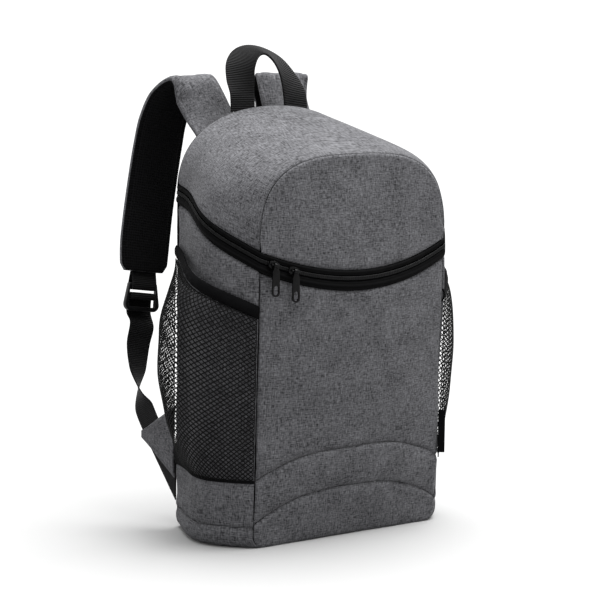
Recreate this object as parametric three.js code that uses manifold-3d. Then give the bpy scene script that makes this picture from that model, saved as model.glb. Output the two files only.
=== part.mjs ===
import * as THREE from "three";
import * as BufferGeometryUtils from "three/addons/utils/BufferGeometryUtils.js";
import Module from "manifold-3d";

// An insulated backpack, upright on its flat base. Millimetres, +Z up, the front towards -Y,
// the shoulder straps at +Y, and the origin at the middle of the base.

// Body
const SEAM_WIDTH = 234; // between the two front seams
const SEAM_DEPTH = 135; // from the front seams to the back seams
const SIDE_BULGE = 24.4; // how far the side walls belly out
const SIDE_BULGE_LEAD = 0.58; // above 0, the fullest place lies towards the front
const FRONT_BULGE = 16;
const FRONT_BULGE_HEIGHT = 190; // height where the front is fullest
const FRONT_LEAN = 6; // how far the foot of the front sits back
const BACK_BULGE = 4;
const BASE_RADIUS = 12; // rounding between the side walls and the base
const HEEL_BULGE = 6; // extra fullness of the side walls near the ground, towards the back
const HEEL_HEIGHT = 70; // where that fullness has run out
const GUSSET_HEIGHT = 21; // top of the base piece on the side walls
const BASE_MITRE = 1.3; // walls by which the base piece is drawn in at the front and back
const WALL = 4; // padded wall
const SEAM_GAP = 0.4; // between two sewn pieces
const REST_GAP = 0.3; // between a piece and what it lies on

// Front seams that arch over the foot of the front panel
const UPPER_ARC_HEIGHT = 67;
const UPPER_ARC_RISE = 24.5;
const LOWER_ARC_HEIGHT = 23;
const LOWER_ARC_RISE = 28.5;
const ARC_SQUARENESS = 2.7; // 2 for a parabola, more for a flatter middle

// Zip round the mouth
const ZIP_CORNER_HEIGHT = 282;
const ZIP_FRONT_DIP = 23;
const ZIP_BACK_RISE = 54;
const ZIP_RISE_LEAD = 0.8; // above 0, the rise is quicker at the front
const ZIP_UPPER_TAPE = 8;
const ZIP_LOWER_TAPE = 12;
const ZIP_COIL_WIDTH = 4;
const ZIP_TAPE_THICKNESS = 2;
const ZIP_COIL_PROUD = 0.8;

// Lid
const LID_FRONT_HEIGHT = 380;
const LID_BACK_HEIGHT = 420;
const LID_FRONT_SQUARENESS = 3; // power of the superellipse of the front arch
const LID_BACK_SQUARENESS = 2.15;
const LID_TOP_SWELL = 0.4; // share of the side walls' bulge that is left at the lid's top
const LID_EASE = 0.5; // 0 divides the arch by even angles, 1 bunches the steps at its corners
const LID_FRONT_EDGE = 0.03; // where the lid's front starts beside its sharp lower corners
const LID_MITRE = 2; // its back edge is drawn in by two walls
const LID_FOOT_MITRE = 0.2; // its lower edges lean over the zip

// Net side pockets
const POCKET_FOOT_HEIGHT = 66;
const POCKET_MOUTH_FRONT = 238;
const POCKET_MOUTH_RISE = 46;
const POCKET_RISE_LEAD = 0.7;
const BAND_WIDTH = 13;
const BAND_THICKNESS = 2;
const BAND_SLACK = 8; // how far the mouth stands off the wall
const NET_THICKNESS = 1.6;
const NET_STRAND = 3;
const NET_HEM = 3; // between the net's edge and the body seam
const POCKET_GAP = 0.6; // between a pocket's edges and the curved wall they are sewn to
const NET_SAG = 0.82; // above 1 the net is fullest near its foot, below 1 near its mouth
const NET_DIAMOND = { width: 27, height: 28 };
const POCKETS = [
  { side: "left", outward: -1, fullness: 30 },
  { side: "right", outward: 1, fullness: 17 },
];

// Carry handle
const HANDLE_WIDTH = 30;
const HANDLE_THICKNESS = 2.4;
const HANDLE_HALF_SPAN = 35;
const HANDLE_HEIGHT = 61;
const HANDLE_LEAN = 20;
const HANDLE_SEAM = 7; // length of each end that lies on the back

// Shoulder straps
const PAD_WIDTH = 60;
const PAD_END_WIDTH = 46;
const PAD_THICKNESS = 9;
const PAD_CHAMFER = 2.5;
const PAD_ROOT_HEIGHT = 356;
const PAD_RISE = 84; // from the root to the crest
const PAD_DROP = 192; // from the crest to the lower end
const PAD_REACH = 82; // how far the straps stand off the back
const PAD_ROOT_OUT = 46; // from the middle to a strap's centre, at its root
const PAD_SPREAD = 56; // how much further out its lower end is

// Lower webbing, its ladder lock and its corner tab
const WEBBING_WIDTH = 30;
const WEBBING_THICKNESS = 1.6;
const LOCK_WIDTH = 42;
const LOCK_BAR = 4.5;
const LOCK_SLOT = 7.5;
const LOCK_THICKNESS = 4.5;
const LOCK_TAPER = 4; // how much narrower it is at the top, on each side
const LOCK_CORNER = 7;
const LOCK_CLEARANCE = 0.5; // between a bar and the webbing round it
const WEBBING_SWING = 12; // how far the webbing sways out of the seam's plane
const WEBBING_FOOT_HEIGHT = 51;
const WEBBING_SEAM = 50; // length of seam that holds the slanting end
const TAB_TOP = 122;
const TAB_FOOT = 49;
const TAB_LENGTH = 55;
const TAB_THICKNESS = 2.4;
const TAB_TIP = 8; // height of its blunt tip

// Zip sliders and their pulls
const SLIDER_PLACES = [ // across: shares of the half width
  { side: "left", across: -0.889 },
  { side: "right", across: -0.709 },
];
const SLIDER_LENGTH = 11;
const SLIDER_HEIGHT = 8;
const SLIDER_THICKNESS = 2.6;
const SLIDER_NOSE = 0.6; // share of its height that is left at its ends
const SLIDER_FLAT = 1 / 3; // share of its length that has the full height
const BRIDGE_BAR = 1.6;
const BRIDGE_SPAN = 6; // clear width between the legs of the bridge
const BRIDGE_STANDOFF = 3.4; // from the slider's face to the middle of the bar
const PULL_LENGTH = 30;
const PULL_WIDTH = 7;
const PULL_THICKNESS = 1.6;
const PULL_EYE_CLEARANCE = 0.4;
const PULL_SIDE_CLEARANCE = 0.8; // between the eye and each leg of the bridge
const PULL_EYE_WALL = 1.1;
const PULL_LOOP = { width: 8.4, hole: 5, length: 9 };

// Seam label
const LABEL_FOOT = 70;
const LABEL_HEIGHT = 44;
const LABEL_REACH = 7;
const LABEL_THICKNESS = 1.2;
const LABEL_SLANT = THREE.MathUtils.degToRad(37); // how far it points forwards

// How finely the curved pieces are divided
const FRONT_COLUMNS = 14;
const SIDE_COLUMNS = 12;
const LID_COLUMNS = 20;
const BASE_COLUMNS = 6;
const PAD_STEPS = 22;
const STUB_STEPS = 21;
const WEBBING_STEPS = 36;
const HANDLE_STEPS = 26;
const CORNER_STEPS = 4;
const CURVE_STEPS = 6;
const BAR_SIDES = 8;

const FRONT_Y = -SEAM_DEPTH / 2;
const BACK_Y = SEAM_DEPTH / 2;
const HALF_WIDTH = SEAM_WIDTH / 2;
const PROBE = 0.006; // step over which a surface's slope is measured
const TINY = 1e-3;

const COLOURS = {
  heather: 0x6a6a6d,
  heatherDark: 0x505053,
  black: 0x141415,
  net: 0x1c1c1e,
  webbing: 0x1a1a1b,
  plastic: 0x0e0e0f,
  metal: 0x2a2a2c,
};

const wasm = await Module();
wasm.setup();

const bag = new THREE.Group();

function material(colour, roughness, metalness = 0) {
  return new THREE.MeshStandardMaterial({ color: colour, roughness, metalness });
}

function addPiece(name, geometry, finish, parent = bag) {
  const mesh = new THREE.Mesh(geometry, finish);
  mesh.name = name;
  parent.add(mesh);
  return mesh;
}

const lerp = THREE.MathUtils.lerp;
const clamp = THREE.MathUtils.clamp;

function point(x, y, z) {
  return new THREE.Vector3(x, y, z);
}

function shares(count) {
  return Array.from({ length: count + 1 }, (_, k) => k / count);
}

// Heights where the rounding of the base is divided, shared by every piece that meets it
const ROUNDING_STEPS = 4;
const roundingHeights = shares(ROUNDING_STEPS).map((k) => BASE_RADIUS * (1 - Math.cos((k * Math.PI) / 2)));

// How far the rounding draws the side walls in at a height; an inset outline has a smaller radius
function tuck(z, inset = 0) {
  const radius = BASE_RADIUS - inset;
  const below = clamp(BASE_RADIUS - z, 0, radius);
  return radius - Math.sqrt(radius ** 2 - below ** 2);
}

function sideSwell(t) {
  return SIDE_BULGE * Math.sin(Math.PI * t) * (1 + SIDE_BULGE_LEAD * Math.cos(Math.PI * t));
}

function frontSeamY(z) {
  return FRONT_Y + FRONT_LEAN * clamp(1 - z / ZIP_CORNER_HEIGHT, 0, 1);
}

function frontSwell(x, z) {
  const height = 1 - ((z - FRONT_BULGE_HEIGHT) / FRONT_BULGE_HEIGHT) ** 2;
  return FRONT_BULGE * Math.max(height, 0) * (1 - (x / HALF_WIDTH) ** 2);
}

function backSwell(x, z) {
  const height = Math.sin((Math.PI * clamp(z, 0, LID_BACK_HEIGHT)) / LID_BACK_HEIGHT);
  return BACK_BULGE * height * (1 - Math.min((x / HALF_WIDTH) ** 2, 1));
}

// The base of a side wall is fuller towards the back
function heelSwell(t, z) {
  const height = clamp(1 - z / HEEL_HEIGHT, 0, 1) ** 2;
  return HEEL_BULGE * height * Math.sin(Math.PI * t) * (1 - Math.cos(Math.PI * t));
}

// A place on a side wall, or `off` square outside it: outward is -1 or 1, t runs from the front seam
// to the back seam
function sidePoint(outward, t, z, off = 0) {
  const swell = (at) => sideSwell(at) + heelSwell(at, z);
  const slope = (swell(t + PROBE) - swell(t - PROBE)) / (2 * PROBE * SEAM_DEPTH);
  const square = off / Math.hypot(1, slope);
  const x = HALF_WIDTH - tuck(z) + swell(t) + square;
  return point(outward * x, lerp(frontSeamY(z), BACK_Y, t) - slope * square, z);
}

// A place on the front, or `off` outside it, on an outline drawn in by `inset`
function frontPoint(across, z, off = 0, inset = 0) {
  const x = across * (HALF_WIDTH - inset - tuck(z, inset));
  return point(x, frontSeamY(z) - frontSwell(x, z) - off, z);
}

// A climb from 0 to 1 that is steeper at its start
function leadingRise(t, lead) {
  return t * (1 + lead * (1 - t));
}

// Height of the zip's teeth along the side walls and across the front
function zipSideHeight(t) {
  return ZIP_CORNER_HEIGHT + ZIP_BACK_RISE * leadingRise(t, ZIP_RISE_LEAD);
}

function zipFrontHeight(across) {
  return ZIP_CORNER_HEIGHT - ZIP_FRONT_DIP * (1 - across ** 2);
}

// Round the mouth from the left back seam (s = 0) past the front seams (1 and 2) to the right (3)
function mouthPoint(s, above, off = 0) {
  if (s < 1) {
    return sidePoint(-1, 1 - s, zipSideHeight(1 - s) + above, off);
  }
  if (s > 2) {
    return sidePoint(1, s - 2, zipSideHeight(s - 2) + above, off);
  }
  const across = 2 * (s - 1) - 1;
  return frontPoint(across, zipFrontHeight(across) + above, off);
}

// A place on the lid: t from front to back, u from the left edge over the top to the right edge
function lidPoint(t, u) {
  const eased = u - (LID_EASE * Math.sin(2 * Math.PI * u)) / (2 * Math.PI);
  const angle = Math.PI * eased;
  const power = 2 / lerp(LID_FRONT_SQUARENESS, LID_BACK_SQUARENESS, t);
  const foot = zipSideHeight(t) + ZIP_UPPER_TAPE;
  const top = lerp(LID_FRONT_HEIGHT, LID_BACK_HEIGHT, t);
  const rise = Math.max(Math.sin(angle), 0) ** power;
  const half = HALF_WIDTH + sideSwell(t) * lerp(1, LID_TOP_SWELL, rise);
  const x = -Math.sign(Math.cos(angle)) * half * Math.abs(Math.cos(angle)) ** power;
  const z = lerp(foot, top, rise);
  return point(x, lerp(frontSeamY(z), BACK_Y, t), z);
}

function gridPlan(columns, rows) {
  const points = columns.flatMap((u) => rows.map((v) => [u, v]));
  const triangles = [];
  for (let i = 0; i < columns.length - 1; i += 1) {
    for (let j = 0; j < rows.length - 1; j += 1) {
      const a = i * rows.length + j;
      const b = a + rows.length;
      triangles.push([a, b, b + 1], [a, b + 1, a + 1]);
    }
  }
  return { points, triangles };
}

// Edges that only one triangle of a plan uses, in that triangle's direction
function borderEdges(triangles) {
  const used = new Map();
  for (const [a, b, c] of triangles) {
    for (const edge of [[a, b], [b, c], [c, a]]) {
      used.set(edge.join(), edge);
    }
  }
  return [...used.values()].filter(([a, b]) => !used.has([b, a].join()));
}

function surfaceNormal(surface, u, v) {
  const low = [Math.max(u - PROBE, 0), Math.max(v - PROBE, 0)];
  const high = [Math.min(u + PROBE, 1), Math.min(v + PROBE, 1)];
  const alongU = surface(high[0], v).sub(surface(low[0], v));
  const alongV = surface(u, high[1]).sub(surface(u, low[1]));
  return alongU.cross(alongV).normalize();
}

// Moves a share of a path so that the whole path starts `low` and ends `high` millimetres short
const MARKS = 32;
function drawIn(place, share, low, high) {
  const marks = shares(MARKS).map((k) => (1 - Math.cos(Math.PI * k)) / 2);
  const places = marks.map(place);
  const lengths = [0];
  for (let k = 1; k <= MARKS; k += 1) {
    lengths.push(lengths[k - 1] + places[k].distanceTo(places[k - 1]));
  }
  const total = lengths[MARKS];
  const before = lookUp(marks, lengths, share);
  return lookUp(lengths, marks, low + ((total - low - high) * before) / total);
}

function lookUp(from, to, value) {
  let k = from.findIndex((mark) => mark >= value);
  k = clamp(k, 1, from.length - 1);
  return lerp(to[k - 1], to[k], (value - from[k - 1]) / (from[k] - from[k - 1]));
}

// A closed wall from a flat plan laid on a surface and thickened inwards. `mitre` draws the inner
// edges in by that many wall thicknesses, where the neighbour stands at a right angle. A panel with
// rounded corners names its own inner surface instead.
function thicken(plan, surface, wall, mitre = {}, innerSurface = null) {
  const gap = SEAM_GAP / 2;
  const laid = (skin, [u, v], edges) => {
    const low = (edge) => gap + (edges[edge] ?? 0) * wall;
    return [
      drawIn((k) => skin(k, v), u, low("u0"), low("u1")),
      drawIn((k) => skin(u, k), v, low("v0"), low("v1")),
    ];
  };
  const outer = plan.points.map((place) => surface(...laid(surface, place, {})));
  const inner = plan.points.map((place) => {
    if (innerSurface) {
      return innerSurface(...laid(innerSurface, place, {}));
    }
    const [u, v] = laid(surface, place, mitre);
    return surface(u, v).addScaledVector(surfaceNormal(surface, u, v), -wall);
  });
  const count = outer.length;
  const faces = [...plan.triangles];
  faces.push(...plan.triangles.map(([a, b, c]) => [c + count, b + count, a + count]));
  for (const [a, b] of borderEdges(plan.triangles)) {
    faces.push([b, a, a + count], [b, a + count, b + count]);
  }
  return meshGeometry([...outer, ...inner], faces);
}

function meshGeometry(points, faces) {
  const geometry = new THREE.BufferGeometry();
  geometry.setAttribute("position", new THREE.Float32BufferAttribute(points.flatMap((p) => p.toArray()), 3));
  geometry.setIndex(faces.flat());
  geometry.computeVertexNormals();
  return geometry;
}

function sewnPanel(columns, rows, surface, mitre, wall = WALL) {
  return thicken(gridPlan(columns, rows), surface, wall, mitre);
}

function roundedPanel(columns, rows, surface, innerSurface) {
  return thicken(gridPlan(columns, rows), surface, WALL, {}, innerSurface);
}

function solid(geometry) {
  const bare = geometry.clone();
  bare.deleteAttribute("normal");
  bare.deleteAttribute("uv");
  const merged = BufferGeometryUtils.mergeVertices(bare, TINY);
  const vertProperties = new Float32Array(merged.attributes.position.array);
  const triVerts = new Uint32Array(merged.index.array);
  return new wasm.Manifold(new wasm.Mesh({ numProp: 3, vertProperties, triVerts }));
}

function geometryOf(manifold) {
  const mesh = manifold.getMesh();
  const geometry = new THREE.BufferGeometry();
  geometry.setAttribute("position", new THREE.BufferAttribute(mesh.vertProperties, 3));
  geometry.setIndex(new THREE.BufferAttribute(mesh.triVerts, 1));
  geometry.computeVertexNormals();
  return geometry;
}

// Section corners of a flat band, as [across, through], with cut corners where the band is padded
function bandSection(width, thickness, chamfer) {
  const x = width / 2;
  const y = thickness / 2;
  if (chamfer === 0) {
    return [[-x, -y], [x, -y], [x, y], [-x, y]];
  }
  return [
    [-x + chamfer, -y], [x - chamfer, -y], [x, -y + chamfer], [x, y - chamfer],
    [x - chamfer, y], [-x + chamfer, y], [-x, y - chamfer], [-x, -y + chamfer],
  ];
}

// A strap lofted along a smooth path. Each stop has a place and a span: half of the strap's width.
function strap(stops, steps, thickness, chamfer = 0) {
  const path = new THREE.CatmullRomCurve3(stops.map((stop) => stop.at), false, "centripetal");
  const spans = new THREE.CatmullRomCurve3(stops.map((stop) => stop.span), false, "centripetal");
  const rings = shares(steps).map((k) => {
    const centre = path.getPoint(k);
    const span = spans.getPoint(k);
    const through = path.getTangent(k).cross(span).normalize();
    const wide = span.clone().normalize();
    return bandSection(2 * span.length(), thickness, chamfer).map(([x, y]) => {
      return centre.clone().addScaledVector(wide, x).addScaledVector(through, y);
    });
  });
  return loft(rings);
}

// Turns each span square to the path, with its length kept
function squared(stops) {
  return stops.map((stop, k) => {
    const before = stops[Math.max(k - 1, 0)].at;
    const after = stops[Math.min(k + 1, stops.length - 1)].at;
    const along = after.clone().sub(before).normalize();
    const span = stop.span.clone().addScaledVector(along, -stop.span.dot(along));
    return { at: stop.at, span: span.setLength(stop.span.length()) };
  });
}

function loft(rings) {
  const size = rings[0].length;
  const faces = [];
  for (let ring = 0; ring < rings.length - 1; ring += 1) {
    for (let k = 0; k < size; k += 1) {
      const a = ring * size + k;
      const b = ring * size + ((k + 1) % size);
      faces.push([a, b, b + size], [a, b + size, a + size]);
    }
  }
  const last = (rings.length - 1) * size;
  for (let k = 1; k < size - 1; k += 1) {
    faces.push([0, k + 1, k], [last, last + k, last + k + 1]);
  }
  return meshGeometry(rings.flat(), faces);
}

const heather = material(COLOURS.heather, 0.95);
const heatherShade = material(COLOURS.heatherDark, 0.95);
const blackCloth = material(COLOURS.black, 0.9);
const netCloth = material(COLOURS.net, 0.85);
const webbing = material(COLOURS.webbing, 0.8);
const plastic = material(COLOURS.plastic, 0.4);
const zipMetal = material(COLOURS.metal, 0.35, 0.9);

const frontColumns = shares(FRONT_COLUMNS);
const sideColumns = shares(SIDE_COLUMNS);
const lidColumns = shares(LID_COLUMNS);

// Rows of a panel that starts at the ground: first the rounding's heights, then even steps
function footRows(height, count) {
  const rounding = roundingHeights.map((z) => z / height);
  const start = rounding[rounding.length - 1];
  return [...rounding, ...shares(count).slice(1).map((k) => lerp(start, 1, k))];
}

function arcHeight(across, foot, rise) {
  return foot + rise * (1 - Math.abs(across) ** ARC_SQUARENESS);
}

function frontPanel(lowEdge, highEdge, rows) {
  const surface = (inset) => (u, v) => {
    const across = clamp(2 * u - 1, -1, 1);
    const share = (across * (HALF_WIDTH - inset)) / HALF_WIDTH;
    const z = lerp(Math.max(lowEdge(share), inset), highEdge(share), v);
    return frontPoint(across, z, -inset, inset);
  };
  return roundedPanel(frontColumns, rows, surface(0), surface(WALL));
}

function buildFront() {
  const ground = () => 0;
  const lowerArc = (across) => arcHeight(across, LOWER_ARC_HEIGHT, LOWER_ARC_RISE);
  const upperArc = (across) => arcHeight(across, UPPER_ARC_HEIGHT, UPPER_ARC_RISE);
  const mouth = (across) => zipFrontHeight(across) - ZIP_LOWER_TAPE;
  addPiece("front_panel_lower", frontPanel(ground, lowerArc, footRows(LOWER_ARC_HEIGHT, 1)), heather);
  addPiece("front_panel_middle", frontPanel(lowerArc, upperArc, shares(2)), heather);
  addPiece("front_panel_upper", frontPanel(upperArc, mouth, shares(5)), heather);
}

function sideSurface(outward, lowEdge, highEdge) {
  return (u, v) => {
    const t = outward > 0 ? u : 1 - u;
    return sidePoint(outward, t, lerp(lowEdge(t), highEdge(t), v));
  };
}

function buildSides() {
  const gusset = () => GUSSET_HEIGHT;
  const pocketFoot = () => POCKET_FOOT_HEIGHT;
  const mouth = (t) => zipSideHeight(t) - ZIP_LOWER_TAPE;
  const mitre = { u0: 1, u1: 1 };
  for (const { side, outward } of POCKETS) {
    const lower = sideSurface(outward, gusset, pocketFoot);
    const upper = sideSurface(outward, pocketFoot, mouth);
    addPiece(`side_base_${side}`, sewnPanel(sideColumns, shares(1), lower, mitre), heatherShade);
    addPiece(`side_panel_${side}`, sewnPanel(sideColumns, shares(4), upper, mitre), heatherShade);
  }
}

// The base piece runs from one side wall, under the bag, to the other
function baseColumns() {
  const rise = [GUSSET_HEIGHT, ...[...roundingHeights].reverse()];
  const flat = shares(BASE_COLUMNS).slice(1, -1);
  return { rise, flat };
}

function buildBase() {
  const { rise, flat } = baseColumns();
  const places = [
    ...rise.map((z) => ({ z, across: -1 })),
    ...flat.map((k) => ({ z: 0, across: 2 * k - 1 })),
    ...[...rise].reverse().map((z) => ({ z, across: 1 })),
  ];
  const surface = (u, v) => {
    const along = clamp(u, 0, 1) * (places.length - 1);
    const from = Math.min(Math.floor(along), places.length - 2);
    const z = lerp(places[from].z, places[from + 1].z, along - from);
    const across = lerp(places[from].across, places[from + 1].across, along - from);
    const edge = sidePoint(1, 1 - v, z);
    const frontBow = frontSwell(across * HALF_WIDTH, z) * clamp(2 * v - 1, 0, 1);
    return point(across * edge.x, edge.y - frontBow, z);
  };
  const columns = places.map((_, k) => k / (places.length - 1));
  const mitre = { v0: BASE_MITRE, v1: BASE_MITRE };
  addPiece("bottom_panel", sewnPanel(columns, sideColumns, surface, mitre), heatherShade);
}

// The arch of the lid's edge, drawn in by `inset` within its own upright plane
function archPoint(t, u, inset = 0) {
  const along = lidPoint(t, Math.min(u + PROBE, 1)).sub(lidPoint(t, Math.max(u - PROBE, 0)));
  const inward = point(along.z, 0, -along.x).normalize();
  return lidPoint(t, u).addScaledVector(inward, inset);
}

function buildBack() {
  const surface = (inset) => (u, v) => {
    const top = archPoint(1, 1 - u, inset);
    const z = lerp(inset, top.z, v);
    const half = HALF_WIDTH - inset;
    const x = lerp((1 - 2 * u) * half, top.x, v) * (1 - tuck(z, inset) / half);
    return point(x, BACK_Y + backSwell(x, z) - inset, z);
  };
  const rows = footRows(zipSideHeight(1) + ZIP_UPPER_TAPE, 9);
  addPiece("back_panel", roundedPanel(lidColumns, rows, surface(0), surface(WALL)), blackCloth);
}

function buildLid() {
  const gusset = (u, v) => lidPoint(clamp(v, 0, 1), clamp(u, 0, 1));
  const gussetMitre = { u0: LID_FOOT_MITRE, u1: LID_FOOT_MITRE, v0: 1, v1: LID_MITRE };
  addPiece("lid_gusset", sewnPanel(lidColumns, sideColumns, gusset, gussetMitre), heather);

  const front = (u, v) => {
    const arch = lidPoint(0, u);
    const across = -Math.cos(Math.PI * u);
    const x = lerp(across * HALF_WIDTH, arch.x, v);
    const z = lerp(zipFrontHeight(across) + ZIP_UPPER_TAPE, arch.z, v);
    return point(x, frontSeamY(z) - frontSwell(x, z) * Math.cos((Math.PI / 2) * v ** 3), z);
  };
  const columns = [LID_FRONT_EDGE, ...lidColumns.slice(1, -1), 1 - LID_FRONT_EDGE];
  addPiece("lid_front_panel", sewnPanel(columns, shares(5), front, { u0: 1, u1: 1, v1: 1 }), heather);
}

// One of the strips of the zip, all the way round the mouth
function mouthStrip(low, high, proud, thickness) {
  const columns = [
    ...sideColumns.map((k) => k / 3),
    ...frontColumns.slice(1, -1).map((k) => (1 + k) / 3),
    ...sideColumns.map((k) => (2 + k) / 3),
  ];
  const surface = (u, v) => mouthPoint(3 * clamp(u, 0, 1), lerp(low, high, v), proud);
  return sewnPanel(columns, shares(1), surface, { u0: 1, u1: 1 }, thickness);
}

function buildZip() {
  const coil = ZIP_COIL_WIDTH / 2;
  const upper = mouthStrip(coil, ZIP_UPPER_TAPE, 0, ZIP_TAPE_THICKNESS);
  const lower = mouthStrip(-ZIP_LOWER_TAPE, -coil, 0, ZIP_TAPE_THICKNESS);
  const teeth = mouthStrip(-coil, coil, ZIP_COIL_PROUD, ZIP_TAPE_THICKNESS);
  addPiece("zip_tape_upper", upper, blackCloth);
  addPiece("zip_tape_lower", lower, blackCloth);
  addPiece("zip_coil", teeth, plastic);
}

function netPlan(columns, rows) {
  const points = [];
  const triangles = [];
  const index = new Map();
  const hole = 1 - NET_STRAND / Math.min(NET_DIAMOND.width, NET_DIAMOND.height) / Math.SQRT1_2;
  const vertex = (i, j) => {
    const key = `${i},${j}`;
    if (!index.has(key)) {
      index.set(key, points.length);
      points.push([i / columns, j / rows]);
    }
    return index.get(key);
  };
  for (let i = 0; i <= columns; i += 1) {
    for (let j = 0; j <= rows; j += 1) {
      if ((i + j) % 2 === 1) {
        addDiamond({ i, j, columns, rows, hole, vertex, points, triangles });
      }
    }
  }
  return { points, triangles };
}

// One diamond of the net: cut through inside, whole where the net's edge cuts it in half
function addDiamond({ i, j, columns, rows, hole, vertex, points, triangles }) {
  const corners = [[i + 1, j], [i, j + 1], [i - 1, j], [i, j - 1]];
  const kept = corners.filter(([a, b]) => a >= 0 && a <= columns && b >= 0 && b <= rows);
  const ring = kept.map(([a, b]) => vertex(a, b));
  if (ring.length < corners.length) {
    const start = corners.findIndex((corner) => !kept.includes(corner));
    const [low, tip, high] = corners.slice(start + 1).concat(corners.slice(0, start));
    const middle = vertex(i, j);
    triangles.push([middle, vertex(...low), vertex(...tip)], [middle, vertex(...tip), vertex(...high)]);
    return;
  }
  const first = points.length;
  points.push(...corners.map(([a, b]) => [lerp(i, a, hole) / columns, lerp(j, b, hole) / rows]));
  for (let k = 0; k < ring.length; k += 1) {
    const next = (k + 1) % ring.length;
    triangles.push([ring[k], ring[next], first + next], [ring[k], first + next, first + k]);
  }
}

function pocketMouth(t) {
  return POCKET_MOUTH_FRONT + POCKET_MOUTH_RISE * leadingRise(t, POCKET_RISE_LEAD);
}

function mouthStandoff(t) {
  return POCKET_GAP + BAND_SLACK * Math.sin(Math.PI * t);
}

// The net hangs full below the band: v is 0 at its foot and 1 at the band
function pocketSurface(outward, fullness, lowEdge, highEdge, thickness) {
  const hem = NET_HEM / SEAM_DEPTH;
  return (u, v) => {
    const t = lerp(hem, 1 - hem, outward > 0 ? u : 1 - u);
    const along = Math.sin(Math.PI * clamp((t - hem) / (1 - 2 * hem), 0, 1));
    const fall = Math.sin(Math.PI * (1 - v) ** NET_SAG);
    const loose = fullness * Math.max(fall, 0) * Math.sqrt(along);
    const off = lerp(POCKET_GAP, mouthStandoff(t), v) + thickness + loose;
    return sidePoint(outward, t, lerp(lowEdge, highEdge(t), v), off);
  };
}

function buildPockets() {
  const bandFoot = (t) => pocketMouth(t) - BAND_WIDTH;
  const netColumns = 2 * Math.round(SEAM_DEPTH / NET_DIAMOND.width);
  const netRows = 2 * Math.round((POCKET_MOUTH_FRONT - POCKET_FOOT_HEIGHT) / NET_DIAMOND.height);
  for (const { side, outward, fullness } of POCKETS) {
    const net = pocketSurface(outward, fullness, POCKET_FOOT_HEIGHT, bandFoot, NET_THICKNESS);
    addPiece(`net_pocket_${side}`, thicken(netPlan(netColumns, netRows), net, NET_THICKNESS), netCloth);
    const band = (u, v) => {
      const t = outward > 0 ? u : 1 - u;
      const off = mouthStandoff(t) + BAND_THICKNESS;
      return sidePoint(outward, t, pocketMouth(t) - BAND_WIDTH * (1 - v), off);
    };
    addPiece(`pocket_band_${side}`, sewnPanel(sideColumns, shares(1), band, {}, BAND_THICKNESS), blackCloth);
  }
}

// The handle from its left end to its right, as shares of its half span, lean and height; its width
// turns over the top, and the loop leans to the left
const HANDLE_STOPS = [
  { out: -1, back: 0, up: 0, width: [1, 0, 0] },
  { out: -0.99, back: 0.1, up: 0.28, width: [1, 0, 0] },
  { out: -0.96, back: 0.33, up: 0.52, width: [0.95, -0.3, 0] },
  { out: -0.84, back: 0.6, up: 0.76, width: [0.8, -0.6, -0.1] },
  { out: -0.52, back: 0.88, up: 0.94, width: [0.4, -0.9, -0.2] },
  { out: -0.14, back: 1, up: 1, width: [0, -0.95, -0.25] },
  { out: 0.24, back: 0.94, up: 0.95, width: [-0.3, -0.9, -0.3] },
  { out: 0.6, back: 0.72, up: 0.79, width: [-0.6, -0.7, -0.35] },
  { out: 0.82, back: 0.42, up: 0.55, width: [-0.85, -0.4, -0.2] },
  { out: 0.92, back: 0.12, up: 0.28, width: [-1, -0.05, 0] },
  { out: 0.94, back: 0, up: 0, width: [-1, 0, 0] },
];

function buildHandle() {
  const foot = LID_BACK_HEIGHT - HANDLE_SEAM;
  const y = BACK_Y + backSwell(0, foot) + REST_GAP + HANDLE_THICKNESS / 2;
  const stops = HANDLE_STOPS.map(({ out, back, up, width }) => ({
    at: point(out * HANDLE_HALF_SPAN, y + back * HANDLE_LEAN, foot + up * HANDLE_HEIGHT),
    span: point(...width).setLength(HANDLE_WIDTH / 2),
  }));
  addPiece("carry_handle", strap(squared(stops), HANDLE_STEPS, HANDLE_THICKNESS), webbing);
}

// The padded strap up to its crest, then down to its end, as shares of the named sizes
const PAD_RISE_STOPS = [
  { out: 0, back: 0, up: 0 },
  { out: 0.02, back: 0.01, up: 0.2 },
  { out: 0.05, back: 0.16, up: 0.4 },
  { out: 0.08, back: 0.37, up: 0.61 },
  { out: 0.13, back: 0.51, up: 0.81 },
  { out: 0.19, back: 0.61, up: 0.97 },
];
const PAD_DROP_STOPS = [
  { out: 0.3, back: 0.73, down: 0.01, taper: 0 },
  { out: 0.44, back: 0.84, down: 0.09, taper: 0 },
  { out: 0.52, back: 0.93, down: 0.2, taper: 0 },
  { out: 0.59, back: 0.98, down: 0.35, taper: 0 },
  { out: 0.77, back: 0.97, down: 0.63, taper: 0 },
  { out: 0.92, back: 0.92, down: 0.84, taper: 0 },
  { out: 0.98, back: 0.89, down: 0.96, taper: 0.2 },
  { out: 1, back: 0.88, down: 1, taper: 1 },
];

function padStops(outward) {
  const lie = backSwell(PAD_ROOT_OUT - PAD_WIDTH / 2, PAD_ROOT_HEIGHT) + REST_GAP;
  const rootY = BACK_Y + lie + PAD_THICKNESS / 2;
  const crest = PAD_ROOT_HEIGHT + PAD_RISE;
  const place = (out, back, z) => {
    return point(outward * (PAD_ROOT_OUT + out * PAD_SPREAD), rootY + back * PAD_REACH, z);
  };
  const rise = PAD_RISE_STOPS.map(({ out, back, up }) => {
    return { at: place(out, back, PAD_ROOT_HEIGHT + up * PAD_RISE), span: point(PAD_WIDTH / 2, 0, 0) };
  });
  const drop = PAD_DROP_STOPS.map(({ out, back, down, taper }) => {
    const half = lerp(PAD_WIDTH, PAD_END_WIDTH, taper) / 2;
    return { at: place(out, back, crest - down * PAD_DROP), span: point(half, 0, 0) };
  });
  return squared([...rise, ...drop]);
}

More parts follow.
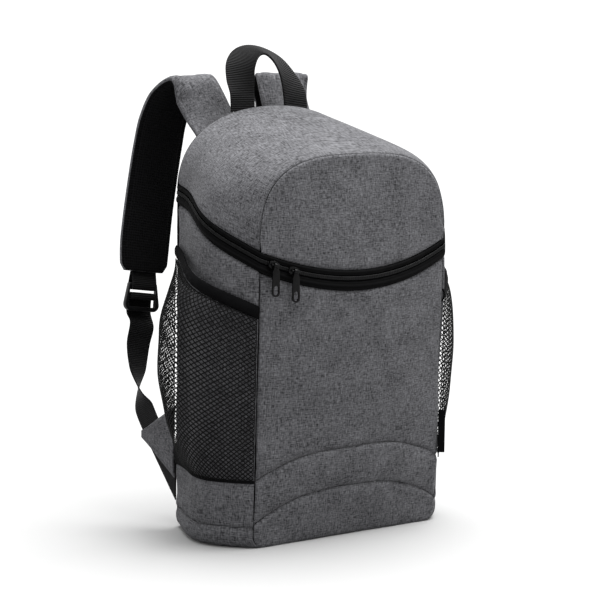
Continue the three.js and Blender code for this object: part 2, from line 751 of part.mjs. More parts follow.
// The ladder lock's own frame: X along the strap's width, Z up the strap, -Y to the front
function lockFrame(outward) {
  const stops = padStops(outward);
  const end = stops[stops.length - 1].at;
  const before = stops[stops.length - 2].at;
  const up = before.clone().sub(end).normalize();
  const across = point(1, 0, 0).addScaledVector(up, -up.x).normalize();
  const back = up.clone().cross(across).normalize();
  const drop = LOCK_SLOT + LOCK_BAR;
  const frame = new THREE.Group();
  frame.position.copy(end).addScaledVector(up, -drop);
  frame.quaternion.setFromRotationMatrix(new THREE.Matrix4().makeBasis(across, back, up));
  frame.updateMatrixWorld();
  return frame;
}

function lockOutline() {
  const half = LOCK_WIDTH / 2;
  const foot = -3 * LOCK_BAR - 2 * LOCK_SLOT;
  const shape = new THREE.Shape();
  shape.moveTo(-half + LOCK_TAPER, 0);
  shape.lineTo(-half, foot + LOCK_CORNER);
  shape.absarc(-half + LOCK_CORNER, foot + LOCK_CORNER, LOCK_CORNER, Math.PI, 1.5 * Math.PI);
  shape.absarc(half - LOCK_CORNER, foot + LOCK_CORNER, LOCK_CORNER, -0.5 * Math.PI, 0);
  shape.lineTo(half - LOCK_TAPER, 0);
  for (const slot of [0, 1]) {
    const top = -LOCK_BAR - slot * (LOCK_BAR + LOCK_SLOT);
    const side = WEBBING_WIDTH / 2 + 1;
    const hole = new THREE.Path();
    hole.moveTo(-side, top);
    hole.lineTo(side, top);
    hole.lineTo(side, top - LOCK_SLOT);
    hole.lineTo(-side, top - LOCK_SLOT);
    shape.holes.push(hole);
  }
  return shape;
}

function ladderLock() {
  const options = { depth: LOCK_THICKNESS, bevelEnabled: false, curveSegments: CORNER_STEPS };
  const geometry = new THREE.ExtrudeGeometry(lockOutline(), options);
  geometry.rotateX(Math.PI / 2);
  geometry.translate(0, LOCK_THICKNESS / 2, 0);
  return geometryOf(solid(geometry));
}

// Where the layers of webbing run beside a bar of the lock
const LAYER_OFF = LOCK_THICKNESS / 2 + LOCK_CLEARANCE + WEBBING_THICKNESS / 2;
const LAYER_BEND = LOCK_CLEARANCE + WEBBING_THICKNESS / 2;
const LAYER_CORNER = WEBBING_THICKNESS / 4;

// A profile of [through, up] in the lock's frame, as stops of a strap
function lockStops(frame, profile) {
  const span = point(WEBBING_WIDTH / 2, 0, 0).applyQuaternion(frame.quaternion);
  return profile.map(([y, z]) => ({ at: frame.localToWorld(point(0, y, z)), span }));
}

// The short doubled webbing between the pad and the top bar of the lock
function stubStops(frame) {
  const under = -LOCK_BAR - LAYER_BEND;
  const top = LOCK_SLOT + LOCK_BAR - REST_GAP;
  const side = WEBBING_THICKNESS / 2 + REST_GAP;
  return lockStops(frame, [
    [-side, top], [-LAYER_OFF, 0], [-LAYER_OFF, -LOCK_BAR], [LAYER_CORNER - LAYER_OFF, under],
    [LAYER_OFF - LAYER_CORNER, under], [LAYER_OFF, -LOCK_BAR], [LAYER_OFF, 0], [side, top],
  ]);
}

// Below the lock the webbing turns edge on and runs down to the corner seam: how far out of the
// seam and behind it, as shares of its swing and of the lock's place, and its height above the foot
const WEBBING_STOPS = [
  { out: -0.7, back: 0.93, up: 0.93, turn: 0 },
  { out: -0.2, back: 0.9, up: 0.8, turn: 0.1 },
  { out: 0.1, back: 0.84, up: 0.64, turn: 0.35 },
  { out: 0.25, back: 0.77, up: 0.49, turn: 0.7 },
  { out: 0.05, back: 0.7, up: 0.39, turn: 1 },
  { out: -0.12, back: 0.52, up: 0.25, turn: 1 },
];

function adjusterStops(outward, frame) {
  const barTop = -LOCK_BAR - LOCK_SLOT;
  const barFoot = barTop - LOCK_BAR;
  const round = lockStops(frame, [
    [-LAYER_OFF, barFoot], [-LAYER_OFF, barTop], [LAYER_CORNER - LAYER_OFF, barTop + LAYER_BEND],
    [LAYER_OFF - LAYER_CORNER, barTop + LAYER_BEND], [LAYER_OFF, barTop],
    [LAYER_OFF, barFoot - LOCK_SLOT - LOCK_BAR - WEBBING_THICKNESS],
  ]);
  const start = round[round.length - 1].at;
  const x = HALF_WIDTH - WEBBING_THICKNESS / 2;
  const seamY = BACK_Y + REST_GAP;
  const slant = point(0, -1, 1).setLength(WEBBING_WIDTH / 2);
  const flat = point((outward * WEBBING_WIDTH) / 2, 0, 0);
  const fall = WEBBING_STOPS.map(({ out, back, up, turn }) => ({
    at: point(
      outward * (x + out * WEBBING_SWING),
      lerp(seamY, start.y, back),
      lerp(WEBBING_FOOT_HEIGHT, start.z, up),
    ),
    span: flat.clone().lerp(slant, turn).setLength(WEBBING_WIDTH / 2).multiplyScalar(outward),
  }));
  const seam = {
    at: point(outward * x, seamY, WEBBING_FOOT_HEIGHT),
    span: point(0, 0, (outward * WEBBING_SEAM) / 2),
  };
  return [...round, ...squared(fall), seam];
}

function tabGeometry(outward) {
  const root = BACK_Y + REST_GAP + SEAM_GAP;
  const x = outward * (HALF_WIDTH + REST_GAP);
  const middle = (TAB_TOP + TAB_FOOT) / 2;
  const corners = [
    [root, TAB_FOOT], [root + TAB_LENGTH, middle - TAB_TIP / 2],
    [root + TAB_LENGTH, middle + TAB_TIP / 2], [root, TAB_TOP],
  ];
  const section = (off) => corners.map(([y, z]) => point(x + off, y, z));
  const rings = [section(0), section(outward * TAB_THICKNESS)];
  return loft(outward > 0 ? rings : rings.reverse());
}

function buildStraps() {
  for (const { side, outward } of POCKETS) {
    const frame = lockFrame(outward);
    const pad = strap(padStops(outward), PAD_STEPS, PAD_THICKNESS, PAD_CHAMFER);
    addPiece(`strap_pad_${side}`, pad, heather);
    addPiece(`strap_stub_${side}`, strap(stubStops(frame), STUB_STEPS, WEBBING_THICKNESS), webbing);
    bag.add(frame);
    addPiece(`ladder_lock_${side}`, ladderLock(), plastic, frame);
    const adjuster = strap(adjusterStops(outward, frame), WEBBING_STEPS, WEBBING_THICKNESS);
    addPiece(`adjuster_webbing_${side}`, adjuster, webbing);
    addPiece(`strap_tab_${side}`, tabGeometry(outward), heatherShade);
  }
}

// A frame on the zip's teeth: X along the teeth, -Y straight out of the bag
function sliderFrame(place) {
  const s = 1.5 + place.across / 2;
  const along = mouthPoint(s + PROBE, 0).sub(mouthPoint(s - PROBE, 0)).normalize();
  const up = mouthPoint(s, 1).sub(mouthPoint(s, -1)).normalize();
  const inward = up.clone().cross(along).normalize();
  const frame = new THREE.Group();
  const proud = ZIP_COIL_PROUD + REST_GAP;
  frame.position.copy(mouthPoint(s, 0)).addScaledVector(inward, -proud);
  const axes = new THREE.Matrix4().makeBasis(along, inward, along.clone().cross(inward));
  frame.quaternion.setFromRotationMatrix(axes);
  return frame;
}

function sliderBody() {
  const half = SLIDER_LENGTH / 2;
  const high = SLIDER_HEIGHT / 2;
  const nose = high * SLIDER_NOSE;
  const shape = new THREE.Shape();
  shape.moveTo(-half, -nose);
  shape.lineTo(-half * SLIDER_FLAT, -high);
  shape.lineTo(half * SLIDER_FLAT, -high);
  shape.lineTo(half, -nose);
  shape.lineTo(half, nose);
  shape.lineTo(half * SLIDER_FLAT, high);
  shape.lineTo(-half * SLIDER_FLAT, high);
  shape.lineTo(-half, nose);
  const plate = new THREE.ExtrudeGeometry(shape, { depth: SLIDER_THICKNESS, bevelEnabled: false });
  plate.rotateX(Math.PI / 2);
  return solid(plate);
}

// The bridge: a bar that the pull hangs on, between two legs
function sliderBridge() {
  const reach = SLIDER_THICKNESS + BRIDGE_STANDOFF;
  const outer = BRIDGE_SPAN / 2 + BRIDGE_BAR;
  const bar = new THREE.CylinderGeometry(BRIDGE_BAR / 2, BRIDGE_BAR / 2, 2 * outer, BAR_SIDES);
  bar.rotateZ(Math.PI / 2);
  bar.translate(0, -reach, 0);
  const deep = BRIDGE_STANDOFF + SLIDER_THICKNESS / 2;
  const leg = new THREE.BoxGeometry(BRIDGE_BAR, deep, BRIDGE_BAR);
  leg.translate(outer - BRIDGE_BAR / 2, -reach + deep / 2, 0);
  const otherLeg = leg.clone().translate(BRIDGE_BAR - 2 * outer, 0, 0);
  return solid(bar).add(solid(leg)).add(solid(otherLeg));
}

function pullGeometry(tilt) {
  const bore = BRIDGE_BAR / 2 + PULL_EYE_CLEARANCE;
  const outer = bore + PULL_EYE_WALL;
  const eyeWidth = BRIDGE_SPAN - 2 * PULL_SIDE_CLEARANCE;
  const ring = new THREE.Shape();
  ring.absarc(0, 0, outer, 0, 2 * Math.PI);
  const hole = new THREE.Path();
  hole.absarc(0, 0, bore, 0, 2 * Math.PI);
  ring.holes.push(hole);
  const eye = new THREE.ExtrudeGeometry(ring, {
    depth: eyeWidth,
    bevelEnabled: false,
    curveSegments: CURVE_STEPS,
  });
  eye.translate(0, 0, -eyeWidth / 2);
  eye.rotateY(Math.PI / 2);

  const loopRadius = PULL_LOOP.width / 2;
  const foot = -PULL_LENGTH + loopRadius;
  const plate = new THREE.Shape();
  const neck = eyeWidth / 2;
  const top = -outer + PULL_EYE_WALL / 2;
  const shoulder = -outer - PULL_WIDTH / 2;
  plate.moveTo(-neck, top);
  plate.lineTo(-PULL_WIDTH / 2, shoulder);
  plate.lineTo(-loopRadius, foot);
  plate.absarc(0, foot, loopRadius, Math.PI, 2 * Math.PI);
  plate.lineTo(PULL_WIDTH / 2, shoulder);
  plate.lineTo(neck, top);
  const window = new THREE.Path();
  const windowRadius = PULL_LOOP.hole / 2;
  window.absarc(0, foot, windowRadius, Math.PI, 2 * Math.PI);
  window.absarc(0, foot + PULL_LOOP.length - PULL_LOOP.hole, windowRadius, 0, Math.PI);
  plate.holes.push(window);
  const blade = new THREE.ExtrudeGeometry(plate, {
    depth: PULL_THICKNESS,
    bevelEnabled: false,
    curveSegments: CURVE_STEPS,
  });
  blade.rotateX(Math.PI / 2);
  blade.translate(0, PULL_THICKNESS / 2, 0);
  blade.rotateY(tilt);
  return geometryOf(solid(eye).add(solid(blade)));
}

function buildSliders() {
  for (const place of SLIDER_PLACES) {
    const frame = sliderFrame(place);
    bag.add(frame);
    addPiece(`zip_slider_${place.side}`, geometryOf(sliderBody().add(sliderBridge())), zipMetal, frame);
    const hang = new THREE.Group();
    hang.position.set(0, -SLIDER_THICKNESS - BRIDGE_STANDOFF, 0);
    frame.add(hang);
    const along = point(1, 0, 0).applyQuaternion(frame.quaternion);
    const tilt = Math.asin(along.z);
    addPiece(`zip_pull_${place.side}`, pullGeometry(tilt), zipMetal, hang);
  }
}

// A folded woven tab that stands out of the right front seam
function buildLabel() {
  const outDirection = point(Math.cos(LABEL_SLANT), -Math.sin(LABEL_SLANT), 0);
  const thickDirection = point(Math.sin(LABEL_SLANT), Math.cos(LABEL_SLANT), 0);
  const ring = (z) => {
    const seam = sidePoint(1, 0, z).addScaledVector(outDirection, REST_GAP);
    const outer = seam.clone().addScaledVector(outDirection, LABEL_REACH);
    const through = thickDirection.clone().multiplyScalar(LABEL_THICKNESS / 2);
    return [
      seam.clone().sub(through), outer.clone().sub(through),
      outer.clone().add(through), seam.clone().add(through),
    ];
  };
  addPiece("side_label", loft([ring(LABEL_FOOT), ring(LABEL_FOOT + LABEL_HEIGHT)]), blackCloth);
}

buildFront();
buildSides();
buildBase();
buildBack();
buildLid();
buildZip();
buildPockets();
buildHandle();
buildStraps();
buildSliders();
buildLabel();

export default bag;
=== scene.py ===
import math

import bmesh
import bpy
import numpy as np
from mathutils import Matrix, Vector


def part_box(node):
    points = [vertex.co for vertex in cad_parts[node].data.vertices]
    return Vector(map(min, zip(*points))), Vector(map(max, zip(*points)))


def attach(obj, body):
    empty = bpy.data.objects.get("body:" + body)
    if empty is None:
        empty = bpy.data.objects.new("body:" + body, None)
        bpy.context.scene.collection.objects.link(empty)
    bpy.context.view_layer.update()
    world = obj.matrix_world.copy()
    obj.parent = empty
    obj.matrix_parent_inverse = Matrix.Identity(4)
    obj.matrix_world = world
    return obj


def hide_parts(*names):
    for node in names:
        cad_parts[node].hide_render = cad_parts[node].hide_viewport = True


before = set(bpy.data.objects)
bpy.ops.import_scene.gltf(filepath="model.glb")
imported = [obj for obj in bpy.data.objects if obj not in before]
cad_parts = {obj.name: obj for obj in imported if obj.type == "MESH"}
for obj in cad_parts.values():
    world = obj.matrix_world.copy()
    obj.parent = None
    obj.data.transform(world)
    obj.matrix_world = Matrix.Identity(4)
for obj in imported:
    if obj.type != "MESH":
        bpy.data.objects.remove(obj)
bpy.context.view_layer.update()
bpy.ops.object.select_all(action="DESELECT")
print("frame loaded")

# Sizes are in metres. Front towards -Y, straps at +Y, origin in the middle of the base.
bag = {
    "seamWidth": 0.234,
    "seamDepth": 0.135,
    "sideBulge": 0.0244,
    "sideLead": 0.58,  # the side walls are fullest towards the front
    "frontBulge": 0.016,
    "frontFullest": 0.190,
    "frontLean": 0.006,
    "backBulge": 0.004,
    "baseRadius": 0.012,
    "heelBulge": 0.006,
    "heelHeight": 0.070,
    "gussetHeight": 0.021,
    "wall": 0.0035,
    "upperArc": (0.067, 0.0245),  # height at the seams, rise to the middle
    "lowerArc": (0.023, 0.0285),
    "arcSquareness": 2.7,
}
zipLine = {
    "corner": 0.282,
    "dip": 0.023,
    "rise": 0.054,
    "lead": 0.8,
    "upperTape": 0.008,
    "lowerTape": 0.012,
    "coil": 0.004,
}
lid = {"front": 0.380, "back": 0.420, "squareFront": 3.0, "squareBack": 2.15, "ease": 0.5, "topSwell": 0.4}
pocket = {
    "foot": 0.066,
    "mouth": 0.238,
    "rise": 0.046,
    "lead": 0.7,
    "band": 0.013,
    "slack": 0.008,
    "sag": 0.82,
    "gap": 0.0006,
    "fullness": {"left": 0.030, "right": 0.017},
}
sides = {"left": -1, "right": 1}
halfWidth = bag["seamWidth"] / 2
halfDepth = bag["seamDepth"] / 2


shot = {
    "azimuth": 39.0,  # degrees to the left of straight ahead
    "elevation": 7.93,
    "roll": 0.8,
    "distance": 2.6,
    "aim": (0, 0, 0.215),
    "focal": 2595.5,  # pixels, for an image of 600
    "aimPixel": (310.7, 312.79),
    "image": 600,
}


def addCamera():
    azimuth, elevation, roll = (math.radians(shot[k]) for k in ("azimuth", "elevation", "roll"))
    back = Vector((
        -math.sin(azimuth) * math.cos(elevation),
        -math.cos(azimuth) * math.cos(elevation),
        math.sin(elevation),
    ))
    right = Vector((math.cos(azimuth), -math.sin(azimuth), 0))
    up = back.cross(right)
    rolledRight = right * math.cos(roll) + up * math.sin(roll)
    rolledUp = up * math.cos(roll) - right * math.sin(roll)
    bpy.ops.object.camera_add(location=(0, 0, 0))
    camera = bpy.context.object
    camera.name = "camera"
    camera.matrix_world = Matrix.Translation(Vector(shot["aim"]) + back * shot["distance"]) @ Matrix(
        (rolledRight, rolledUp, back)
    ).transposed().to_4x4()
    camera.data.sensor_width = 36
    camera.data.lens = shot["focal"] / shot["image"] * camera.data.sensor_width
    centre = shot["image"] / 2
    camera.data.shift_x = -(shot["aimPixel"][0] - centre) / shot["image"]
    camera.data.shift_y = (shot["aimPixel"][1] - centre) / shot["image"]
    camera.data.clip_end = 200
    bpy.context.scene.camera = camera


addCamera()
print("camera set")


def linear(hexColour):
    # sRGB hex to the linear colour that the shader wants
    parts = [int(hexColour[k:k + 2], 16) / 255 for k in (0, 2, 4)]
    return [p / 12.92 if p <= 0.04045 else ((p + 0.055) / 1.055) ** 2.4 for p in parts] + [1]


def addNode(tree, kind, links=None, **settings):
    item = tree.nodes.new(kind)
    for key, value in settings.items():
        setattr(item, key, value)
    for socket, source in (links or {}).items():
        if isinstance(source, bpy.types.NodeSocket):
            tree.links.new(source, item.inputs[socket])
        else:
            item.inputs[socket].default_value = source
    return item


def newMaterial(name, **shader):
    material = bpy.data.materials.new(name)
    material.use_nodes = True
    tree = material.node_tree
    bsdf = tree.nodes["Principled BSDF"]
    for socket, value in shader.items():
        bsdf.inputs[socket.replace("_", " ")].default_value = value
    return material, tree, bsdf


def clothPattern(tree, acrossSize, alongSize, **noise):
    # noise stretched to threads of that size, on the piece's own map in metres
    place = addNode(tree, "ShaderNodeUVMap", uv_map="UVMap").outputs[0]
    scale = (1 / acrossSize, 1 / alongSize, 1)
    mapped = addNode(tree, "ShaderNodeMapping", {"Vector": place, "Scale": scale}).outputs[0]
    return addNode(tree, "ShaderNodeTexNoise", {"Vector": mapped, "Scale": 1, **noise}).outputs[0]


def objectGrain(tree, fineness, detail):
    # noise through the whole piece, in grains to the metre
    place = addNode(tree, "ShaderNodeTexCoord").outputs["Object"]
    noise = {"Vector": place, "Scale": fineness, "Detail": detail}
    return addNode(tree, "ShaderNodeTexNoise", noise).outputs[0]


def ribPattern(tree, pitch, direction="Y"):
    # even ribs of that pitch on the piece's own map in metres
    place = addNode(tree, "ShaderNodeUVMap", uv_map="UVMap").outputs[0]
    split = addNode(tree, "ShaderNodeSeparateXYZ", {0: place}).outputs[direction]
    angle = {0: split, 1: 2 * math.pi / pitch}
    turned = addNode(tree, "ShaderNodeMath", angle, operation="MULTIPLY").outputs[0]
    wave = addNode(tree, "ShaderNodeMath", {0: turned}, operation="SINE").outputs[0]
    return addNode(tree, "ShaderNodeMapRange", {0: wave, 1: -1, 2: 1}).outputs[0]


def mixValues(tree, first, second, share=0.5):
    return addNode(tree, "ShaderNodeMix", {0: share, 2: first, 3: second}).outputs[0]


def crossedPattern(tree, fine, long, **noise):
    # the same threads along both ways of the cloth
    return mixValues(tree, clothPattern(tree, fine, long, **noise), clothPattern(tree, long, fine, **noise))


def tint(tree, bsdf, value, low, high, dark, light):
    # a value between low and high becomes a colour between dark and light
    spread = addNode(tree, "ShaderNodeMapRange", {0: value, 1: low, 2: high}).outputs[0]
    mix = addNode(
        tree, "ShaderNodeMix", {0: spread, 6: linear(dark), 7: linear(light)}, data_type="RGBA"
    ).outputs[2]
    tree.links.new(mix, bsdf.inputs["Base Color"])


def bump(tree, bsdf, height, depth, strength=1.0):
    lift = addNode(
        tree, "ShaderNodeBump", {"Height": height, "Distance": depth, "Strength": strength}
    ).outputs[0]
    tree.links.new(lift, bsdf.inputs["Normal"])


heather = {
    "yarn": 0.0009,  # drawn at 0.9 mm, because the real 0.4 mm is too fine to show
    "fleck": 0.0045,
    "slub": 0.0015,
    "streak": 0.017,
    "patch": 0.030,
    "slubShare": 0.32,
    "patchShare": 0.12,
    "contrast": (0.38, 0.62),
    "dark": "19191b",
    "light": "656568",
    "grainDepth": 0.0009,
}


def heatherPolyester():
    # polyester woven of light and dark yarns: dull, with a finely crossed grain and short dark flecks
    material, tree, bsdf = newMaterial(
        "heatherPolyester", Roughness=0.95, Specular_IOR_Level=0.15, Sheen_Weight=0.03, Sheen_Roughness=0.5
    )
    crossed = crossedPattern(tree, heather["yarn"], heather["fleck"], Detail=1, Roughness=0.5)
    slubs = crossedPattern(tree, heather["slub"], heather["streak"], Detail=1)
    patches = clothPattern(tree, heather["patch"], heather["patch"], Detail=2)
    mottled = mixValues(tree, crossed, slubs, heather["slubShare"])
    tone = mixValues(tree, mottled, patches, heather["patchShare"])
    tint(tree, bsdf, tone, *heather["contrast"], heather["dark"], heather["light"])
    bump(tree, bsdf, crossed, heather["grainDepth"], 0.55)
    return material


def backPolyester():
    # plain-woven black polyester: dull, with a faint regular grain.
    # Its threads, about 0.4 mm apart, are drawn at 1.2 mm so that they show.
    thread = 0.0012
    material, tree, bsdf = newMaterial("backPolyester", Roughness=0.9, Specular_IOR_Level=0.05)
    weave = mixValues(tree, ribPattern(tree, thread, "X"), ribPattern(tree, thread, "Y"))
    worn = clothPattern(tree, 0.012, 0.012, Detail=3)
    tint(tree, bsdf, mixValues(tree, weave, worn, 0.6), 0.2, 0.8, "040405", "0b0b0c")
    bump(tree, bsdf, weave, 0.0004, 0.6)
    return material


def spacerMesh():
    # knitted air mesh: rows of small round holes, 2.6 mm apart, in soft black yarn, with painted shade darkening
    # each hole
    pitch = 0.0026
    material, tree, bsdf = newMaterial("spacerMesh", Roughness=0.95, Specular_IOR_Level=0.04)
    place = addNode(tree, "ShaderNodeUVMap", uv_map="UVMap").outputs[0]
    shadedHoles = addNode(
        tree, "ShaderNodeTexVoronoi", {"Vector": place, "Scale": 1 / pitch, "Randomness": 0.25}
    ).outputs["Distance"]
    # painted shade: the colour darkens towards the middle of each hole
    tint(tree, bsdf, shadedHoles, 0.15, 0.5, "030303", "121213")
    bump(tree, bsdf, shadedHoles, 0.0009, 0.8)
    return material


def netYarn():
    # knitted polyester net: dull twisted yarn
    material, tree, bsdf = newMaterial("netYarn", Roughness=0.7, Specular_IOR_Level=0.06)
    twist = objectGrain(tree, 900, 2)
    tint(tree, bsdf, twist, 0.3, 0.7, "030303", "0a0a0b")
    bump(tree, bsdf, twist, 0.0003, 0.6)
    return material


ribPitch = 0.0018  # from one cross rib of the webbing to the next


def ribbedWebbing():
    # woven polypropylene webbing: nearly matt, with cross ribs 1.8 mm apart
    material, tree, bsdf = newMaterial("ribbedWebbing", Roughness=0.6, Specular_IOR_Level=0.07)
    ribs = ribPattern(tree, ribPitch, "Y")
    grain = clothPattern(tree, 0.0012, 0.0006, Detail=2)
    tint(tree, bsdf, mixValues(tree, ribs, grain, 0.4), 0.15, 0.85, "050505", "161617")
    bump(tree, bsdf, ribs, 0.0006, 0.7)
    return material


def zipTape():
    # woven polyester zip tape: matt black, with fine raised lines 3.8 mm apart along it
    material, tree, bsdf = newMaterial("zipTape", Roughness=0.8, Specular_IOR_Level=0.04)
    lines = ribPattern(tree, 0.0038, "Y")
    grain = clothPattern(tree, 0.0009, 0.0018, Detail=2)
    tint(tree, bsdf, mixValues(tree, lines, grain, 0.5), 0.2, 0.8, "030303", "0b0b0c")
    bump(tree, bsdf, mixValues(tree, lines, grain, 0.25), 0.0008, 0.7)
    return material


def coilNylon():
    # extruded nylon coil: smooth black, faintly glossy
    material, tree, bsdf = newMaterial("coilNylon", Roughness=0.4, Specular_IOR_Level=0.08)
    dust = objectGrain(tree, 350, 3)
    tint(tree, bsdf, dust, 0.3, 0.7, "070707", "101011")
    bump(tree, bsdf, dust, 0.0001, 0.4)
    return material


def mouldedAcetal():
    # injection-moulded acetal: fine spark-eroded grain, soft highlights
    material, tree, bsdf = newMaterial("mouldedAcetal", Roughness=0.4, Specular_IOR_Level=0.3)
    spark = objectGrain(tree, 1400, 2)
    tint(tree, bsdf, spark, 0.3, 0.7, "060607", "0d0d0e")
    bump(tree, bsdf, spark, 0.00008, 0.5)
    return material


def enamelledZinc():
    # die-cast zinc in baked black enamel: glossy, with a slight orange peel
    material, tree, bsdf = newMaterial("enamelledZinc", Roughness=0.24, Specular_IOR_Level=0.12)
    peel = objectGrain(tree, 500, 3)
    tint(tree, bsdf, peel, 0.35, 0.75, "030303", "0c0c0d")
    bump(tree, bsdf, peel, 0.00006, 0.5)
    return material


finishes = {
    "heather": heatherPolyester(),
    "back": backPolyester(),
    "mesh": spacerMesh(),
    "net": netYarn(),
    "webbing": ribbedWebbing(),
    "tape": zipTape(),
    "coil": coilNylon(),
    "plastic": mouldedAcetal(),
    "metal": enamelledZinc(),
}
print("materials made")


# The bag's surfaces: t runs from the front seam (0) to the back seam (1), and off lies outside them.
def points(x, y, z):
    return np.stack(np.broadcast_arrays(x, y, z), axis=-1).astype(float)


def tuck(z):
    radius = bag["baseRadius"]
    below = np.clip(radius - z, 0, radius)
    return radius - np.sqrt(radius ** 2 - below ** 2)


def sideSwell(t):
    return bag["sideBulge"] * np.sin(np.pi * t) * (1 + bag["sideLead"] * np.cos(np.pi * t))


def frontSeamY(z):
    return -halfDepth + bag["frontLean"] * np.clip(1 - z / zipLine["corner"], 0, 1)


def frontSwell(x, z):
    height = 1 - ((z - bag["frontFullest"]) / bag["frontFullest"]) ** 2
    return bag["frontBulge"] * np.maximum(height, 0) * (1 - (x / halfWidth) ** 2)


def backSwell(x, z):
    height = np.sin(np.pi * np.clip(z, 0, lid["back"]) / lid["back"])
    return bag["backBulge"] * height * (1 - np.minimum((x / halfWidth) ** 2, 1))


def heelSwell(t, z):
    height = np.clip(1 - z / bag["heelHeight"], 0, 1) ** 2
    return bag["heelBulge"] * height * np.sin(np.pi * t) * (1 - np.cos(np.pi * t))


def sidePoint(outward, t, z, off=0):
    step = 0.006
    swell = lambda at: sideSwell(at) + heelSwell(at, z)
    slope = (swell(t + step) - swell(t - step)) / (2 * step * bag["seamDepth"])
    square = off / np.hypot(1, slope)
    x = halfWidth - tuck(z) + swell(t) + square
    seam = frontSeamY(z)
    return points(outward * x, seam + t * (halfDepth - seam) - slope * square, z)


def frontPoint(across, z, off=0):
    x = across * (halfWidth - tuck(z))
    return points(x, frontSeamY(z) - frontSwell(x, z) - off, z)


def leadingRise(t, lead):
    return t * (1 + lead * (1 - t))


def zipSideHeight(t):
    return zipLine["corner"] + zipLine["rise"] * leadingRise(t, zipLine["lead"])


def zipFrontHeight(across):
    return zipLine["corner"] - zipLine["dip"] * (1 - across ** 2)


def mouthPoint(s, above, off=0):
    # round the mouth: s = 0 at the left back seam, 1 and 2 at the front seams, 3 at the right back seam
    left = sidePoint(-1, 1 - s, zipSideHeight(1 - s) + above, off)
    right = sidePoint(1, s - 2, zipSideHeight(s - 2) + above, off)
    across = 2 * (s - 1) - 1
    front = frontPoint(across, zipFrontHeight(across) + above, off)
    s = s[..., None]
    return np.where(s < 1, left, np.where(s > 2, right, front))


def lidPoint(t, u):
    u = np.clip(u, 0, 1)
    angle = np.pi * (u - lid["ease"] * np.sin(2 * np.pi * u) / (2 * np.pi))
    power = 2 / (lid["squareFront"] + (lid["squareBack"] - lid["squareFront"]) * t)
    foot = zipSideHeight(t) + zipLine["upperTape"]
    top = lid["front"] + (lid["back"] - lid["front"]) * t
    cos = np.cos(angle)
    rise = np.maximum(np.sin(angle), 0) ** power
    swell = sideSwell(t) * (1 + (lid["topSwell"] - 1) * rise)
    x = -np.sign(cos) * (halfWidth + swell) * np.abs(cos) ** power
    z = foot + (top - foot) * rise
    seam = frontSeamY(z)
    return points(x, seam + t * (halfDepth - seam), z)


def pocketMouth(t):
    return pocket["mouth"] + pocket["rise"] * leadingRise(t, pocket["lead"])


def mouthStandoff(t):
    return pocket["gap"] + pocket["slack"] * np.sin(np.pi * np.clip(t, 0, 1))


def ripple(x, y, length, seed, waves=7):
    # soft uneven waves between -1 and 1, about `length` from crest to crest
    rng = np.random.default_rng(seed)
    total = 0
    for _ in range(waves):
        turn = rng.uniform(0, 2 * np.pi)
        size = length * rng.uniform(0.7, 1.5)
        along = (x * np.cos(turn) + y * np.sin(turn)) * 2 * np.pi / size
        total = total + np.sin(along + rng.uniform(0, 2 * np.pi))
    return total / waves * 1.6  # about 1 at the crests


seam = {
    "depth": {"corner": 0.0010, "flat": 0.0017},  # a right-angled seam, and a groove between panels in line
    "reach": 0.0024,
    "pucker": 0.45,
    "puckerLength": 0.011,
}


def unit(vectors):
    return vectors / np.maximum(np.linalg.norm(vectors, axis=-1, keepdims=True), 1e-12)


def readPoints(piece):
    co = np.empty(len(piece.data.vertices) * 3)
    piece.data.vertices.foreach_get("co", co)
    return co.reshape(-1, 3)


def writePoints(piece, co):
    piece.data.vertices.foreach_set("co", np.ascontiguousarray(co, dtype=float).ravel())
    piece.data.update()


def scaleMap(piece, width, height):
    # the cloth's own map in metres, so that a weave keeps its real size
    layer = piece.data.uv_layers[0]
    layer.name = "UVMap"
    uv = np.empty(len(layer.data) * 2)
    layer.data.foreach_get("uv", uv)
    layer.data.foreach_set("uv", (uv.reshape(-1, 2) * (width, height)).ravel())


def cutStraight(piece, across, shift=0.0):
    # the map of a panel cut straight from the cloth: its grain runs level and upright over the whole panel
    layer = piece.data.uv_layers[0]
    corners = np.empty(len(layer.data), dtype=np.int32)
    piece.data.loops.foreach_get("vertex_index", corners)
    flat = readPoints(piece)[corners][:, (across, 2)]
    layer.data.foreach_set("uv", (flat + shift).ravel())


def shadeSmooth(piece):
    for face in piece.data.polygons:
        face.use_smooth = True


def applyModifier(piece, kind, **settings):
    modifier = piece.modifiers.new(kind.title(), kind)
    for key, value in settings.items():
        setattr(modifier, key, value)
    bpy.ops.object.select_all(action="DESELECT")
    piece.select_set(True)
    bpy.context.view_layer.objects.active = piece
    bpy.ops.object.modifier_apply(modifier=modifier.name)


